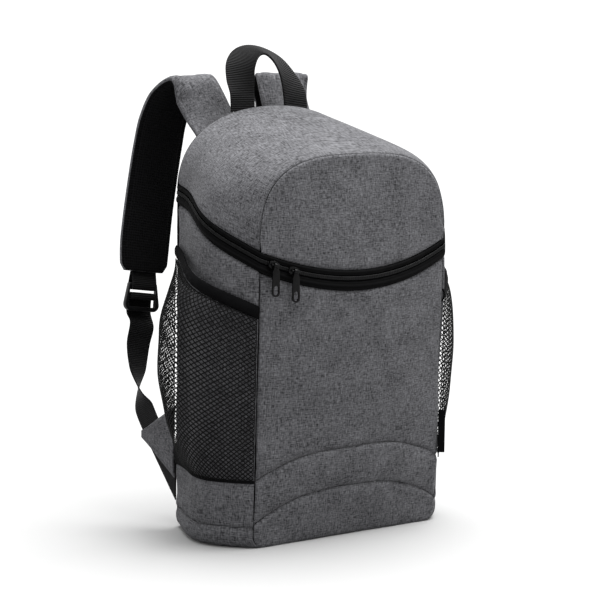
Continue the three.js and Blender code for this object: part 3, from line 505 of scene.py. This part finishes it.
def layCloth(name, place, size, edges, finish, lift=None, wall=bag["wall"], step=0.0026, seed=1):
    columns, rows = (max(int(round(length / step)), 3) for length in size)
    bpy.ops.object.select_all(action="DESELECT")
    bpy.ops.mesh.primitive_grid_add(x_subdivisions=columns, y_subdivisions=rows, size=1)
    piece = bpy.context.object
    piece.name = name
    flat = readPoints(piece)
    u, v = flat[:, 0] + 0.5, flat[:, 1] + 0.5
    probe = 0.004
    alongU = unit(place(np.minimum(u + probe, 1), v) - place(np.maximum(u - probe, 0), v))
    alongV = unit(place(u, np.minimum(v + probe, 1)) - place(u, np.maximum(v - probe, 0)))
    out = unit(np.cross(alongU, alongV))
    co = place(u, v)
    pucker = 1 + seam["pucker"] * ripple(u * size[0], v * size[1], seam["puckerLength"], seed)
    if lift is not None:
        co = co + out * lift(u, v)[:, None]
    # the four sides are u0, u1, v0 and v1: a "corner" side meets its neighbour at a right angle
    reaches = {"u0": u * size[0], "u1": (1 - u) * size[0], "v0": v * size[1], "v1": (1 - v) * size[1]}
    inwards = {"u0": alongU, "u1": -alongU, "v0": alongV, "v1": -alongV}
    for edge, kind in edges.items():
        near = np.exp(-(reaches[edge] / seam["reach"]) ** 2) * np.where(reaches[edge] < 1e-6, 1, pucker)
        depth = seam["depth"][kind]
        co = co - out * (near * depth)[:, None]
        if kind == "corner":
            co = co + inwards[edge] * (near * depth)[:, None]
    writePoints(piece, co)
    scaleMap(piece, *size)
    applyModifier(piece, "SOLIDIFY", thickness=wall, offset=-1)
    piece.data.materials.append(finishes[finish])
    shadeSmooth(piece)
    return piece


def keep(piece, slot, *nodes, body="bag"):
    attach(piece, body)
    if nodes:
        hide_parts(*nodes)


# three padded front panels between arched seams
frontCloth = {
    "lower": {"height": 0.040, "padding": 0, "ripple": 0.0008, "length": 0.060, "seed": 12, "foot": "corner"},
    "middle": {"height": 0.047, "padding": 0.0012, "ripple": 0.0006, "length": 0.050, "seed": 14, "foot": "flat"},
    "upper": {"height": 0.170, "padding": 0, "ripple": 0.0013, "length": 0.075, "seed": 16, "foot": "flat"},
}


def arcHeight(across, arc):
    foot, rise = arc
    return foot + rise * (1 - np.abs(across) ** bag["arcSquareness"])


def frontPanel(part, low, high):
    cloth = frontCloth[part]
    width, height, seed = bag["seamWidth"], cloth["height"], cloth["seed"]

    def place(u, v):
        across = 2 * u - 1
        return frontPoint(across, low(across) + (high(across) - low(across)) * v)

    def lift(u, v):
        waves = ripple(u * width, v * height, cloth["length"], seed - 1)
        return cloth["padding"] * np.sin(np.pi * v) + cloth["ripple"] * waves

    edges = {"u0": "corner", "u1": "corner", "v0": cloth["foot"], "v1": "flat"}
    piece = layCloth(f"front_panel_{part}Cloth", place, (width, height), edges, "heather", lift, seed=seed)
    cutStraight(piece, 0, seed / 100)
    keep(piece, "heather_fabric", f"front_panel_{part}")


def buildFront():
    ground = lambda across: 0 * across
    lowerArc = lambda across: arcHeight(across, bag["lowerArc"])
    upperArc = lambda across: arcHeight(across, bag["upperArc"])
    mouth = lambda across: zipFrontHeight(across) - zipLine["lowerTape"]
    frontPanel("lower", ground, lowerArc)
    frontPanel("middle", lowerArc, upperArc)
    frontPanel("upper", upperArc, mouth)


sideCloth = {
    "width": 0.150,
    "baseHeight": 0.046,
    "baseRipple": 0.0012,
    "baseLength": 0.035,
    "foldRipple": 0.0010,  # small folds above the seam with the bottom
    "foldHeight": 0.012,
    "foldLength": 0.018,
    "panelHeight": 0.230,
    "panelRipple": 0.0018,
    "panelLength": 0.070,
}


def sideWall(outward, low, high):
    def place(u, v):
        t = u if outward > 0 else 1 - u
        return sidePoint(outward, t, low(t) + (high(t) - low(t)) * v)
    return place


def buildSides():
    width, baseHeight, panelHeight = (sideCloth[key] for key in ("width", "baseHeight", "panelHeight"))
    gusset = lambda t: bag["gussetHeight"] + 0 * t
    foot = lambda t: pocket["foot"] + 0 * t
    mouth = lambda t: zipSideHeight(t) - zipLine["lowerTape"]
    edges = {"u0": "corner", "u1": "corner", "v0": "flat", "v1": "flat"}
    for side, outward in sides.items():
        def baseLift(u, v):
            soft = ripple(u * width, v * baseHeight, sideCloth["baseLength"], 21 + outward)
            folds = ripple(u * width, v * sideCloth["foldHeight"], sideCloth["foldLength"], 25 + outward)
            return sideCloth["baseRipple"] * soft + sideCloth["foldRipple"] * (1 - v) * folds

        def panelLift(u, v):
            return sideCloth["panelRipple"] * ripple(
                u * width, v * panelHeight, sideCloth["panelLength"], 31 + outward)

        base = layCloth(f"sideBase{side.title()}", sideWall(outward, gusset, foot), (width, baseHeight),
                        edges, "heather", baseLift, seed=23)
        cutStraight(base, 1, 0.23)
        keep(base, "heather_fabric", f"side_base_{side}")
        panel = layCloth(f"sidePanel{side.title()}", sideWall(outward, foot, mouth), (width, panelHeight),
                         edges, "heather", panelLift, seed=33)
        cutStraight(panel, 1, 0.33)
        keep(panel, "heather_fabric", f"side_panel_{side}")


def buildBase():
    radius, gusset = bag["baseRadius"], bag["gussetHeight"]
    upright, bend = gusset - radius, radius * math.pi / 2
    flat = bag["seamWidth"] - 2 * radius
    full = 2 * (upright + bend) + flat

    def place(u, v):
        s = np.minimum(u, 1 - u) * full
        turn = np.clip((s - upright) / radius, 0, np.pi / 2)
        z = np.where(s < upright, gusset - s, radius * (1 - np.sin(turn)))
        reach = np.clip((s - upright - bend) / (flat / 2), 0, 1)
        across = np.sign(u - 0.5) * (1 - reach)
        edge = sidePoint(1, 1 - v, z)
        bow = frontSwell(across * halfWidth, z) * np.clip(2 * v - 1, 0, 1)
        return points(across * edge[:, 0], edge[:, 1] - bow, z)

    edges = {"u0": "flat", "u1": "flat", "v0": "corner", "v1": "corner"}
    size = (full, bag["seamDepth"])
    piece = layCloth("bottomPanel", place, size, edges, "heather", seed=41)
    keep(piece, "heather_fabric", "bottom_panel")


quilting = {
    "fromMiddle": 0.17,  # of the back's width
    "channelWidth": 0.004,
    "channelDepth": 0.0018,
    "ripple": 0.0010,
    "length": 0.090,
}


def buildBack():
    width, height = bag["seamWidth"], lid["back"]

    def place(u, v):
        top = lidPoint(1, 1 - u)
        z = top[:, 2] * v
        x = ((1 - 2 * u) * halfWidth * (1 - v) + top[:, 0] * v) * (1 - tuck(z) / halfWidth)
        return points(x, halfDepth + backSwell(x, z), z)

    def quilt(u, v):
        # two upright channels pressed into the padding
        beside = (np.abs(u - 0.5) - quilting["fromMiddle"]) * width
        channels = np.exp(-(beside / quilting["channelWidth"]) ** 2)
        waves = ripple(u * width, v * height, quilting["length"], 51)
        return quilting["ripple"] * waves - quilting["channelDepth"] * channels

    edges = {"u0": "corner", "u1": "corner", "v0": "corner", "v1": "corner"}
    piece = layCloth("backPanel", place, (width, height), edges, "back", quilt, seed=53)
    keep(piece, "black_fabric", "back_panel")


lidCloth = {
    "arch": 0.330,
    "depth": 0.140,
    "archRipple": 0.0016,
    "archLength": 0.080,
    "frontHeight": 0.105,
    "frontStart": 0.03,  # the share of the arch that the front's pointed corners leave out
    "frontRipple": 0.0012,
    "frontLength": 0.070,
}


def buildLid():
    arch, depth, height = (lidCloth[key] for key in ("arch", "depth", "frontHeight"))
    width, start = bag["seamWidth"], lidCloth["frontStart"]

    def gussetLift(u, v):
        waves = ripple(u * arch, v * bag["seamDepth"], lidCloth["archLength"], 61)
        return lidCloth["archRipple"] * waves * np.sin(np.pi * v) ** 0.5

    def front(u, v):
        u = start + (1 - 2 * start) * u
        edge = lidPoint(0 * u, u)
        across = -np.cos(np.pi * u)
        x = across * halfWidth * (1 - v) + edge[:, 0] * v
        low = zipFrontHeight(across) + zipLine["upperTape"]
        z = low * (1 - v) + edge[:, 2] * v
        y = frontSeamY(z) - frontSwell(x, z) * np.cos(np.pi / 2 * v ** 3)
        return points(x, y, z)

    def frontLift(u, v):
        waves = ripple(u * width, v * height, lidCloth["frontLength"], 71)
        return lidCloth["frontRipple"] * waves * np.sin(np.pi * v)

    edges = {"u0": "flat", "u1": "flat", "v0": "corner", "v1": "corner"}
    over = layCloth("lidGusset", lambda u, v: lidPoint(v, u), (arch, depth), edges, "heather",
                    gussetLift, seed=62)
    keep(over, "heather_fabric", "lid_gusset")
    edges = {"u0": "corner", "u1": "corner", "v0": "flat", "v1": "corner"}
    face = layCloth("lidFront", front, (width, height), edges, "heather", frontLift, seed=72)
    cutStraight(face, 0, 0.72)
    keep(face, "heather_fabric", "lid_front_panel")


zipMake = {
    "side": 0.150,  # its length round one side
    "tapeWall": 0.0016,
    "tapeOff": 0.0004,
    "tapeCrown": 0.0009,
    "tapeStep": 0.0013,
    "turn": 0.0017,
    "coilWall": 0.0012,
    "coilCrown": 0.0011,
    "notch": 0.55,
    "groove": 0.0006,
    "grooveWidth": 0.08,
}


def buildZip():
    coil = zipLine["coil"] / 2
    around = bag["seamWidth"] + 2 * zipMake["side"]
    strips = {
        "zip_tape_upper": (coil, zipLine["upperTape"]),
        "zip_tape_lower": (-zipLine["lowerTape"], -coil),
    }
    for node, (low, high) in strips.items():
        def tape(u, v):
            return mouthPoint(3 * u, low + (high - low) * v, zipMake["tapeOff"])

        def rounded(u, v):
            return zipMake["tapeCrown"] * np.sin(np.pi * v) ** 0.6

        edges = {"v0": "flat", "v1": "flat"}
        piece = layCloth(node + "Cloth", tape, (around, high - low), edges, "tape", rounded,
                         wall=zipMake["tapeWall"], step=zipMake["tapeStep"], seed=81)
        keep(piece, "zip_tape", node)

    # the coil: a round cord pressed flat, with a notch between every two turns
    def cord(u, v):
        return mouthPoint(3 * u, coil * (2 * v - 1))

    def ridge(u, v):
        turns = np.abs(np.sin(np.pi * u * around / zipMake["turn"])) ** 0.7
        crown = zipMake["coilCrown"] * np.sin(np.pi * v) ** 0.5 * (1 - zipMake["notch"] * (1 - turns))
        return crown - zipMake["groove"] * np.exp(-((v - 0.5) / zipMake["grooveWidth"]) ** 2)

    piece = layCloth("zipCoil", cord, (around, zipLine["coil"]), {}, "coil", ridge,
                     wall=zipMake["coilWall"], step=zipMake["turn"] / 5)
    keep(piece, "zip_coil", "zip_coil")


net = {
    "width": 0.150,
    "height": 0.190,
    "pitchAcross": 0.0044,
    "pitchUp": 0.0052,
    "yarn": 0.0009,
    "thickness": 0.0004,
    "hem": 0.001,
    "off": 0.0010,
    "sway": 0.0022,
    "swayLength": 0.040,
}


def pocketPoint(side, u, v, thickness):
    outward = sides[side]
    hem = net["hem"] / bag["seamDepth"]
    t = hem + (1 - 2 * hem) * (u if outward > 0 else 1 - u)
    along = np.sin(np.pi * np.clip((t - hem) / (1 - 2 * hem), 0, 1))
    fall = np.maximum(np.sin(np.pi * (1 - v) ** pocket["sag"]), 0)
    loose = pocket["fullness"][side] * fall ** 0.7 * np.maximum(along, 0) ** 0.8
    off = pocket["gap"] + (mouthStandoff(t) - pocket["gap"]) * v + thickness + loose
    top = pocketMouth(t) - pocket["band"]
    return sidePoint(outward, t, pocket["foot"] + (top - pocket["foot"]) * v, off)


def buildNet(side):
    width, height = net["width"], net["height"]
    columns, rows = round(width / net["pitchAcross"]), round(height / net["pitchUp"])
    bpy.ops.object.select_all(action="DESELECT")
    bpy.ops.mesh.primitive_grid_add(x_subdivisions=columns, y_subdivisions=rows, size=1)
    piece = bpy.context.object
    piece.name = f"netPocket{side.title()}"
    mesh = bmesh.new()
    mesh.from_mesh(piece.data)
    square = [edge for edge in mesh.edges if not edge.is_boundary]
    bmesh.ops.poke(mesh, faces=mesh.faces[:])
    bmesh.ops.dissolve_edges(mesh, edges=square, use_verts=False)
    # on a flat sheet of the real size: a diamond hole with blunt corners in the middle of each cell
    bmesh.ops.scale(mesh, vec=(width, height, 1), verts=mesh.verts[:])
    bmesh.ops.inset_individual(mesh, faces=mesh.faces[:], thickness=net["yarn"] / 2, use_even_offset=True)
    inner = lambda vertex: not vertex.is_boundary and len(vertex.link_edges) == 3
    holes = [face for face in mesh.faces if all(inner(vertex) for vertex in face.verts)]
    bmesh.ops.delete(mesh, geom=holes, context="FACES_ONLY")
    bmesh.ops.scale(mesh, vec=(1 / width, 1 / height, 1), verts=mesh.verts[:])
    mesh.to_mesh(piece.data)
    mesh.free()
    flat = readPoints(piece)
    u, v = flat[:, 0] + 0.5, flat[:, 1] + 0.5
    co = pocketPoint(side, u, v, net["off"])
    waves = ripple(u * width, v * height, net["swayLength"], 91)
    sway = net["sway"] * waves * np.sin(np.pi * v) * np.sin(np.pi * u)
    co[:, 0] += sides[side] * sway
    writePoints(piece, co)
    applyModifier(piece, "SOLIDIFY", thickness=net["thickness"], offset=0)
    piece.data.materials.clear()
    piece.data.materials.append(finishes["net"])
    shadeSmooth(piece)
    keep(piece, "net", f"net_pocket_{side}")


band = {
    "length": 0.160,
    "off": 0.0014,
    "wall": 0.0016,
    "crown": 0.0006,
    "ripple": 0.0003,
    "rippleLength": 0.010,
}


def buildBand(side):
    outward = sides[side]

    def place(u, v):
        t = u if outward > 0 else 1 - u
        z = pocketMouth(t) - pocket["band"] * (1 - v)
        return sidePoint(outward, t, z, mouthStandoff(t) + band["off"])

    def lift(u, v):
        waves = ripple(u * band["length"], v * pocket["band"], band["rippleLength"], 95)
        return band["crown"] * np.sin(np.pi * v) + band["ripple"] * waves

    piece = layCloth(f"pocketBand{side.title()}", place, (band["length"], pocket["band"]),
                     {"v0": "flat", "v1": "flat"}, "back", lift, wall=band["wall"], step=0.0016, seed=96)
    keep(piece, "black_fabric", f"pocket_band_{side}")


binding = {"length": 0.150, "width": 0.003, "below": 0.001, "off": 0.0020, "wall": 0.0012}


def buildBinding(side):
    # the narrow black edge along the foot of the net
    outward = sides[side]

    def foot(u, v):
        t = u if outward > 0 else 1 - u
        z = pocket["foot"] - binding["below"] + binding["width"] * v
        return sidePoint(outward, t, z, binding["off"])

    piece = layCloth(f"netBinding{side.title()}", foot, (binding["length"], binding["width"]), {}, "back",
                     wall=binding["wall"], step=0.0015)
    keep(piece, "black_fabric")


def smoothPath(stops, shares):
    # centripetal Catmull-Rom through the stops, as the solids' paths are
    stops = np.asarray(stops, float)
    padded = np.vstack([2 * stops[0] - stops[1], stops, 2 * stops[-1] - stops[-2]])
    result = []
    for share in shares:
        place = share * (len(stops) - 1)
        k = min(int(place), len(stops) - 2)
        weight = place - k
        a, b, c, d = padded[k:k + 4]
        gaps = [max(np.sum((q - p) ** 2) ** 0.25, 1e-9) for p, q in ((a, b), (b, c), (c, d))]
        before, middle, after = gaps
        start = ((b - a) / before - (c - a) / (before + middle) + (c - b) / middle) * middle
        end = ((c - b) / middle - (d - b) / (middle + after) + (d - c) / after) * middle
        square, cube = weight ** 2, weight ** 3
        result.append(b + start * weight + (-3 * b + 3 * c - 2 * start - end) * square
                      + (2 * b - 2 * c + start + end) * cube)
    return np.array(result)


def resample(path, others, step):
    # even steps along a path, with what belongs to each place
    lengths = np.concatenate([[0], np.cumsum(np.linalg.norm(np.diff(path, axis=0), axis=1))])
    count = max(int(lengths[-1] / step), 8)
    marks = np.linspace(0, lengths[-1], count + 1)
    take = lambda values: np.stack([np.interp(marks, lengths, values[:, k]) for k in range(3)], axis=1)
    return take(path), [take(values) for values in others], marks


def squared(places, spans):
    fixed = []
    for k, (place, span) in enumerate(zip(places, spans)):
        along = unit(places[min(k + 1, len(places) - 1)] - places[max(k - 1, 0)])
        turned = span - along * np.dot(span, along)
        fixed.append(unit(turned) * np.linalg.norm(span))
    return np.array(fixed)


def roundSection(count, crown):
    # a flat band with soft edges: across from -1 to 1, and through from -1 to 1
    angles = np.linspace(0, 2 * np.pi, count, endpoint=False)
    across = np.sign(np.cos(angles)) * np.abs(np.cos(angles)) ** crown
    through = np.sign(np.sin(angles)) * np.abs(np.sin(angles)) ** crown
    return across, through


def loftBand(name, places, spans, thickness, finish, section, crown, step,
             swell=None, inner=None, arch=None):
    # section is the number of points round the band, and a smaller crown gives squarer edges
    shares = np.linspace(0, 1, 40 * len(places))
    path = smoothPath(places, shares)
    span = smoothPath(spans, shares)
    path, (span,), marks = resample(path, [span], step)
    along = unit(np.gradient(path, axis=0))
    width = np.linalg.norm(span, axis=1)
    wide = unit(span)
    through = unit(np.cross(along, wide))
    across, deep = roundSection(section, crown)
    thick = thickness / 2 * np.ones((len(path), section))
    if swell is not None:
        thick = thick * swell(marks[:, None], across[None, :] * width[:, None])
    rings = (path[:, None] + wide[:, None] * (across[None, :] * width[:, None])[..., None]
             + through[:, None] * (deep[None, :] * thick)[..., None])
    if arch is not None:
        bow = arch(marks / marks[-1])[:, None] * (1 - across[None, :] ** 2)
        rings = rings + through[:, None] * bow[..., None]
    mesh = bpy.data.meshes.new(name)
    count = len(path)
    faces = []
    for ring in range(count - 1):
        for k in range(section):
            a, b = ring * section + k, ring * section + (k + 1) % section
            faces.append((a, b, b + section, a + section))
    faces.append(tuple(reversed(range(section))))
    faces.append(tuple(range((count - 1) * section, count * section)))
    mesh.from_pydata(rings.reshape(-1, 3).tolist(), [], faces)
    piece = bpy.data.objects.new(name, mesh)
    bpy.context.scene.collection.objects.link(piece)
    layer = mesh.uv_layers.new(name="UVMap")
    paces = np.hypot(np.diff(across) * width.mean(), np.diff(deep) * thickness / 2)
    girth = np.concatenate([[0], np.cumsum(paces)])
    uv = []
    for face in faces[:-2]:
        for k, vertex in enumerate(face):
            ring, spot = divmod(vertex, section)
            far = girth[-1] + girth[1] if spot == 0 and k in (1, 2) else girth[spot]
            uv += [far, marks[ring]]
    uv += [0.0] * (4 * section)
    layer.data.foreach_set("uv", uv)
    mesh.materials.append(finishes[finish])
    if inner:
        # the underside gets its own finish
        mesh.materials.append(finishes[inner])
        middle = deep + np.roll(deep, -1)
        for index, face in enumerate(mesh.polygons[:(count - 1) * section]):
            if middle[index % section] > 1.1:
                face.material_index = 1
    recalculate(piece)
    shadeSmooth(piece)
    return piece


def recalculate(piece):
    mesh = bmesh.new()
    mesh.from_mesh(piece.data)
    bmesh.ops.recalc_face_normals(mesh, faces=mesh.faces[:])
    mesh.to_mesh(piece.data)
    mesh.free()


restGap = 0.0003  # between a piece and what it lies on

handle = {
    "width": 0.030,
    "thickness": 0.0024,
    "halfSpan": 0.035,
    "height": 0.061,
    "lean": 0.020,
    "seam": 0.007,
    "ribDepth": 0.16,
}
handleStops = (  # out, back, up as shares of the handle's sizes, then where its width points
    (-1, 0, 0, (1, 0, 0)), (-0.99, 0.1, 0.28, (1, 0, 0)), (-0.96, 0.33, 0.52, (0.95, -0.3, 0)),
    (-0.84, 0.6, 0.76, (0.8, -0.6, -0.1)), (-0.52, 0.88, 0.94, (0.4, -0.9, -0.2)),
    (-0.14, 1, 1, (0, -0.95, -0.25)), (0.24, 0.94, 0.95, (-0.3, -0.9, -0.3)),
    (0.6, 0.72, 0.79, (-0.6, -0.7, -0.35)), (0.82, 0.42, 0.55, (-0.85, -0.4, -0.2)),
    (0.92, 0.12, 0.28, (-1, -0.05, 0)), (0.94, 0, 0, (-1, 0, 0)),
)


def buildHandle():
    foot = lid["back"] - handle["seam"]
    y = halfDepth + backSwell(0, foot) + restGap + handle["thickness"] / 2
    places, spans = [], []
    for out, back, up, width in handleStops:
        places.append((out * handle["halfSpan"], y + back * handle["lean"], foot + up * handle["height"]))
        spans.append(unit(np.array(width, float)) * handle["width"] / 2)
    places = np.array(places)
    spans = squared(places, spans)
    ribs = lambda along, _: 1 + handle["ribDepth"] * np.sin(2 * np.pi * along / ribPitch)
    piece = loftBand("carryHandle", places, spans, handle["thickness"], "webbing", section=20, crown=0.3,
                     step=ribPitch / 4, swell=ribs)
    keep(piece, "webbing", "carry_handle")


pad = {
    "width": 0.060,
    "endWidth": 0.046,
    "thickness": 0.009,
    "rootHeight": 0.356,
    "rise": 0.084,
    "drop": 0.192,
    "reach": 0.082,
    "rootOut": 0.046,
    "spread": 0.056,
    "crestArch": 0.004,  # how far the middle stands above the edges over the crest
    "crestAt": 0.38,
    "crestSpread": 0.16,
    "edge": 0.62,  # its thickness at the bound edges, as a share
    "groove": 0.20,
    "grooveAt": 0.86,
    "grooveWidth": 0.035,
    "unevenness": 0.05,
}
padTilt = (0, 0, 0.02, 0.05, 0.08, 0.1, 0.12, 0.1, 0.06, 0.02, 0, 0, 0, 0)  # how far its outer edge hangs
padRise = (  # out, back, up
    (0, 0, 0), (0.02, 0.01, 0.2), (0.05, 0.16, 0.4), (0.08, 0.37, 0.61), (0.13, 0.51, 0.81),
    (0.19, 0.61, 0.97),
)
padDrop = (  # out, back, down, taper
    (0.3, 0.73, 0.01, 0), (0.44, 0.84, 0.09, 0), (0.52, 0.93, 0.2, 0), (0.59, 0.98, 0.35, 0),
    (0.77, 0.97, 0.63, 0), (0.92, 0.92, 0.84, 0), (0.98, 0.89, 0.96, 0.2), (1, 0.88, 1, 1),
)


def padStops(outward):
    lie = backSwell(pad["rootOut"] - pad["width"] / 2, pad["rootHeight"]) + restGap
    rootY = halfDepth + lie + pad["thickness"] / 2
    crest = pad["rootHeight"] + pad["rise"]

    def at(out, back, z):
        return outward * (pad["rootOut"] + out * pad["spread"]), rootY + back * pad["reach"], z

    places = [at(out, back, pad["rootHeight"] + up * pad["rise"]) for out, back, up in padRise]
    places += [at(out, back, crest - down * pad["drop"]) for out, back, down, _ in padDrop]
    halves = [pad["width"] / 2] * len(padRise)
    halves += [(pad["width"] + (pad["endWidth"] - pad["width"]) * taper) / 2 for *_, taper in padDrop]
    places = np.array(places)
    hang = [(half, 0, -outward * half * tilt) for half, tilt in zip(halves, padTilt)]
    return places, squared(places, np.array(hang))


def buildPad(side):
    places, spans = padStops(sides[side])

    def swell(along, across):
        # full in the middle, pressed flat at the bound edges, with a stitched groove beside each
        edge = np.abs(across) / (pad["width"] / 2)
        full = pad["edge"] + (1 - pad["edge"]) * (1 - np.clip(edge, 0, 1) ** 4)
        groove = pad["groove"] * np.exp(-((edge - pad["grooveAt"]) / pad["grooveWidth"]) ** 2)
        return full - groove + pad["unevenness"] * ripple(along, across, 0.03, 101)

    crest = lambda share: -pad["crestArch"] * np.exp(-((share - pad["crestAt"]) / pad["crestSpread"]) ** 2)
    piece = loftBand(f"strapPad{side.title()}", places, spans, pad["thickness"], "heather", section=48,
                     crown=0.42, step=0.0022, swell=swell, inner="mesh", arch=crest)
    keep(piece, "heather_fabric", f"strap_pad_{side}")


webbing = {"width": 0.030, "thickness": 0.0016, "swing": 0.012, "foot": 0.051, "seam": 0.050}
lock = {"bar": 0.0045, "slot": 0.0075, "thickness": 0.0045, "clearance": 0.0005}
webbingStops = (  # out, back, up, turn
    (-0.7, 0.93, 0.93, 0), (-0.2, 0.9, 0.8, 0.1), (0.1, 0.84, 0.64, 0.35), (0.25, 0.77, 0.49, 0.7),
    (0.05, 0.7, 0.39, 1), (-0.12, 0.52, 0.25, 1),
)


def lockFrame(outward):
    places, _ = padStops(outward)
    end, before = places[-1], places[-2]
    up = unit(before - end)
    across = unit(np.array([1.0, 0, 0]) - up * up[0])
    back = unit(np.cross(up, across))
    return end - up * (lock["slot"] + lock["bar"]), across, back, up


def lockStops(outward, profile):
    origin, across, back, up = lockFrame(outward)
    places = [origin + back * y + up * z for y, z in profile]
    return places, [across * webbing["width"] / 2] * len(places)


layerOff = lock["thickness"] / 2 + lock["clearance"] + webbing["thickness"] / 2
layerBend = lock["clearance"] + webbing["thickness"] / 2
layerCorner = webbing["thickness"] / 4


def buildStub(side):
    bar, under = lock["bar"], -lock["bar"] - layerBend
    top = lock["slot"] + lock["bar"] - restGap
    flank = webbing["thickness"] / 2 + restGap
    places, spans = lockStops(sides[side], [
        (-flank, top), (-layerOff, 0), (-layerOff, -bar), (layerCorner - layerOff, under),
        (layerOff - layerCorner, under), (layerOff, -bar), (layerOff, 0), (flank, top),
    ])
    piece = loftBand(f"strapStub{side.title()}", places, spans, webbing["thickness"], "webbing",
                     section=20, crown=0.3, step=0.0006)
    keep(piece, "webbing", f"strap_stub_{side}")


def buildAdjuster(side):
    outward = sides[side]
    barTop = -lock["bar"] - lock["slot"]
    barFoot = barTop - lock["bar"]
    places, spans = lockStops(outward, [
        (-layerOff, barFoot), (-layerOff, barTop), (layerCorner - layerOff, barTop + layerBend),
        (layerOff - layerCorner, barTop + layerBend), (layerOff, barTop),
        (layerOff, barFoot - lock["slot"] - lock["bar"] - webbing["thickness"]),
    ])
    start = places[-1]
    x = halfWidth - webbing["thickness"] / 2
    seamY = halfDepth + restGap
    flat = np.array([outward, 0, 0.0])
    slant = unit(np.array([0, -1.0, 1.0]))
    fall, turned = [], []
    for out, back, up, turn in webbingStops:
        fall.append(np.array([
            outward * (x + out * webbing["swing"]),
            seamY + (start[1] - seamY) * back,
            webbing["foot"] + (start[2] - webbing["foot"]) * up,
        ]))
        turned.append(unit(flat * (1 - turn) + slant * turn) * webbing["width"] / 2 * outward)
    places += fall + [np.array([outward * x, seamY, webbing["foot"]])]
    spans += list(squared(fall, turned)) + [np.array([0, 0, outward * webbing["seam"] / 2])]
    piece = loftBand(f"adjusterWebbing{side.title()}", places, spans, webbing["thickness"], "webbing",
                     section=20, crown=0.3, step=0.0012)
    keep(piece, "webbing", f"adjuster_webbing_{side}")


tab = {"top": 0.122, "foot": 0.049, "length": 0.055, "thickness": 0.0024, "tip": 0.008, "cloth": 0.060}


def buildTab(side):
    outward = sides[side]
    middle = (tab["top"] + tab["foot"]) / 2
    half = (tab["top"] - tab["foot"]) / 2

    def place(u, v):
        far = u if outward > 0 else 1 - u
        reach = half + (tab["tip"] / 2 - half) * far
        y = halfDepth + 0.0007 + far * tab["length"]  # clear of the seam behind
        x = outward * (halfWidth + restGap + tab["thickness"])
        return points(x + 0 * u, y, middle + (2 * v - 1) * reach)

    edges = {"v0": "flat", "v1": "flat"}
    piece = layCloth(f"strapTab{side.title()}", place, (tab["length"], tab["cloth"]), edges, "heather",
                     wall=tab["thickness"] - 0.0002, step=0.0018, seed=111)
    keep(piece, "heather_fabric", f"strap_tab_{side}")


# hard pieces are softened copies of their solids
softEdges = {"lock": 0.0008, "slider": 0.0004, "pull": 0.0003}


def bevelCopy(name, node, finish, slot, body, width):
    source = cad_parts[node]
    piece = source.copy()
    piece.data = source.data.copy()
    piece.name = name
    piece.parent = None
    for key in list(piece.keys()):
        del piece[key]
    bpy.context.scene.collection.objects.link(piece)
    mesh = bmesh.new()
    mesh.from_mesh(piece.data)
    bmesh.ops.remove_doubles(mesh, verts=mesh.verts[:], dist=1e-6)
    bmesh.ops.dissolve_limit(mesh, angle_limit=math.radians(1), verts=mesh.verts[:], edges=mesh.edges[:])
    mesh.to_mesh(piece.data)
    mesh.free()
    piece.data.materials.clear()
    piece.data.materials.append(finishes[finish])
    sharp = math.radians(35)
    applyModifier(piece, "BEVEL", width=width, segments=2, limit_method="ANGLE", angle_limit=sharp,
                  use_clamp_overlap=True)
    bpy.ops.object.shade_smooth_by_angle(angle=sharp)
    keep(piece, slot, node, body=body)


label = {"middle": 0.092, "reach": 0.007, "thickness": 0.0012, "slant": 37}


def buildLabel():
    low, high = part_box("side_label")
    slant = math.radians(label["slant"])
    out = np.array([math.cos(slant), -math.sin(slant), 0])
    root = sidePoint(1, np.array([0.0]), np.array([label["middle"]]))[0] + out * restGap
    places = [root + out * share * label["reach"] for share in (0, 0.35, 0.7, 1)]
    spans = [np.array([0, 0, (high[2] - low[2]) / 2])] * len(places)
    piece = loftBand("sideLabel", places, spans, label["thickness"], "back", section=28, crown=0.35,
                     step=0.0008)
    keep(piece, "black_fabric", "side_label")


buildFront()
buildSides()
buildBase()
buildBack()
print("body laid")
buildLid()
buildZip()
print("lid and zip laid")
for side in sides:
    buildNet(side)
    buildBand(side)
    buildBinding(side)
    buildPad(side)
    buildStub(side)
    buildAdjuster(side)
    buildTab(side)
    bevelCopy(f"ladderLock{side.title()}", f"ladder_lock_{side}", "plastic", "black_plastic",
              "bag", softEdges["lock"])
    bevelCopy(f"zipSlider{side.title()}", f"zip_slider_{side}", "metal", "zip_metal",
              "bag", softEdges["slider"])
    bevelCopy(f"zipPull{side.title()}", f"zip_pull_{side}", "metal", "zip_metal",
              f"{side}_pull", softEdges["pull"])
buildHandle()
buildLabel()
print("pockets, straps and hardware made")


studio = {
    "floor": "939393",
    "floorSize": 160,
    "world": 1.0,
    "sun": 9.0,
    "sunFrom": (0.28, 0.07, 1.0),
    "sunAngle": 62,
}


def buildStudio():
    bpy.ops.object.select_all(action="DESELECT")
    bpy.ops.mesh.primitive_plane_add(size=studio["floorSize"], location=(0, 0, 0))
    floor = bpy.context.object
    floor.name = "floor"
    material, _, _ = newMaterial("paleFloor", Roughness=0.9, Base_Color=linear(studio["floor"]))
    floor.data.materials.append(material)

    world = bpy.data.worlds.new("studio")
    bpy.context.scene.world = world
    world.use_nodes = True
    world.node_tree.nodes["Background"].inputs["Color"].default_value = (1, 1, 1, 1)
    world.node_tree.nodes["Background"].inputs["Strength"].default_value = studio["world"]

    bpy.ops.object.light_add(type="SUN", location=(1, -2, 4))
    sun = bpy.context.object
    sun.name = "softKey"
    sun.data.energy = studio["sun"]
    sun.data.angle = math.radians(studio["sunAngle"])
    sun.rotation_euler = Vector(studio["sunFrom"]).to_track_quat("Z", "Y").to_euler()
    bpy.context.scene.view_settings.view_transform = "Standard"


buildStudio()
print("studio lit")

print("scene ready")
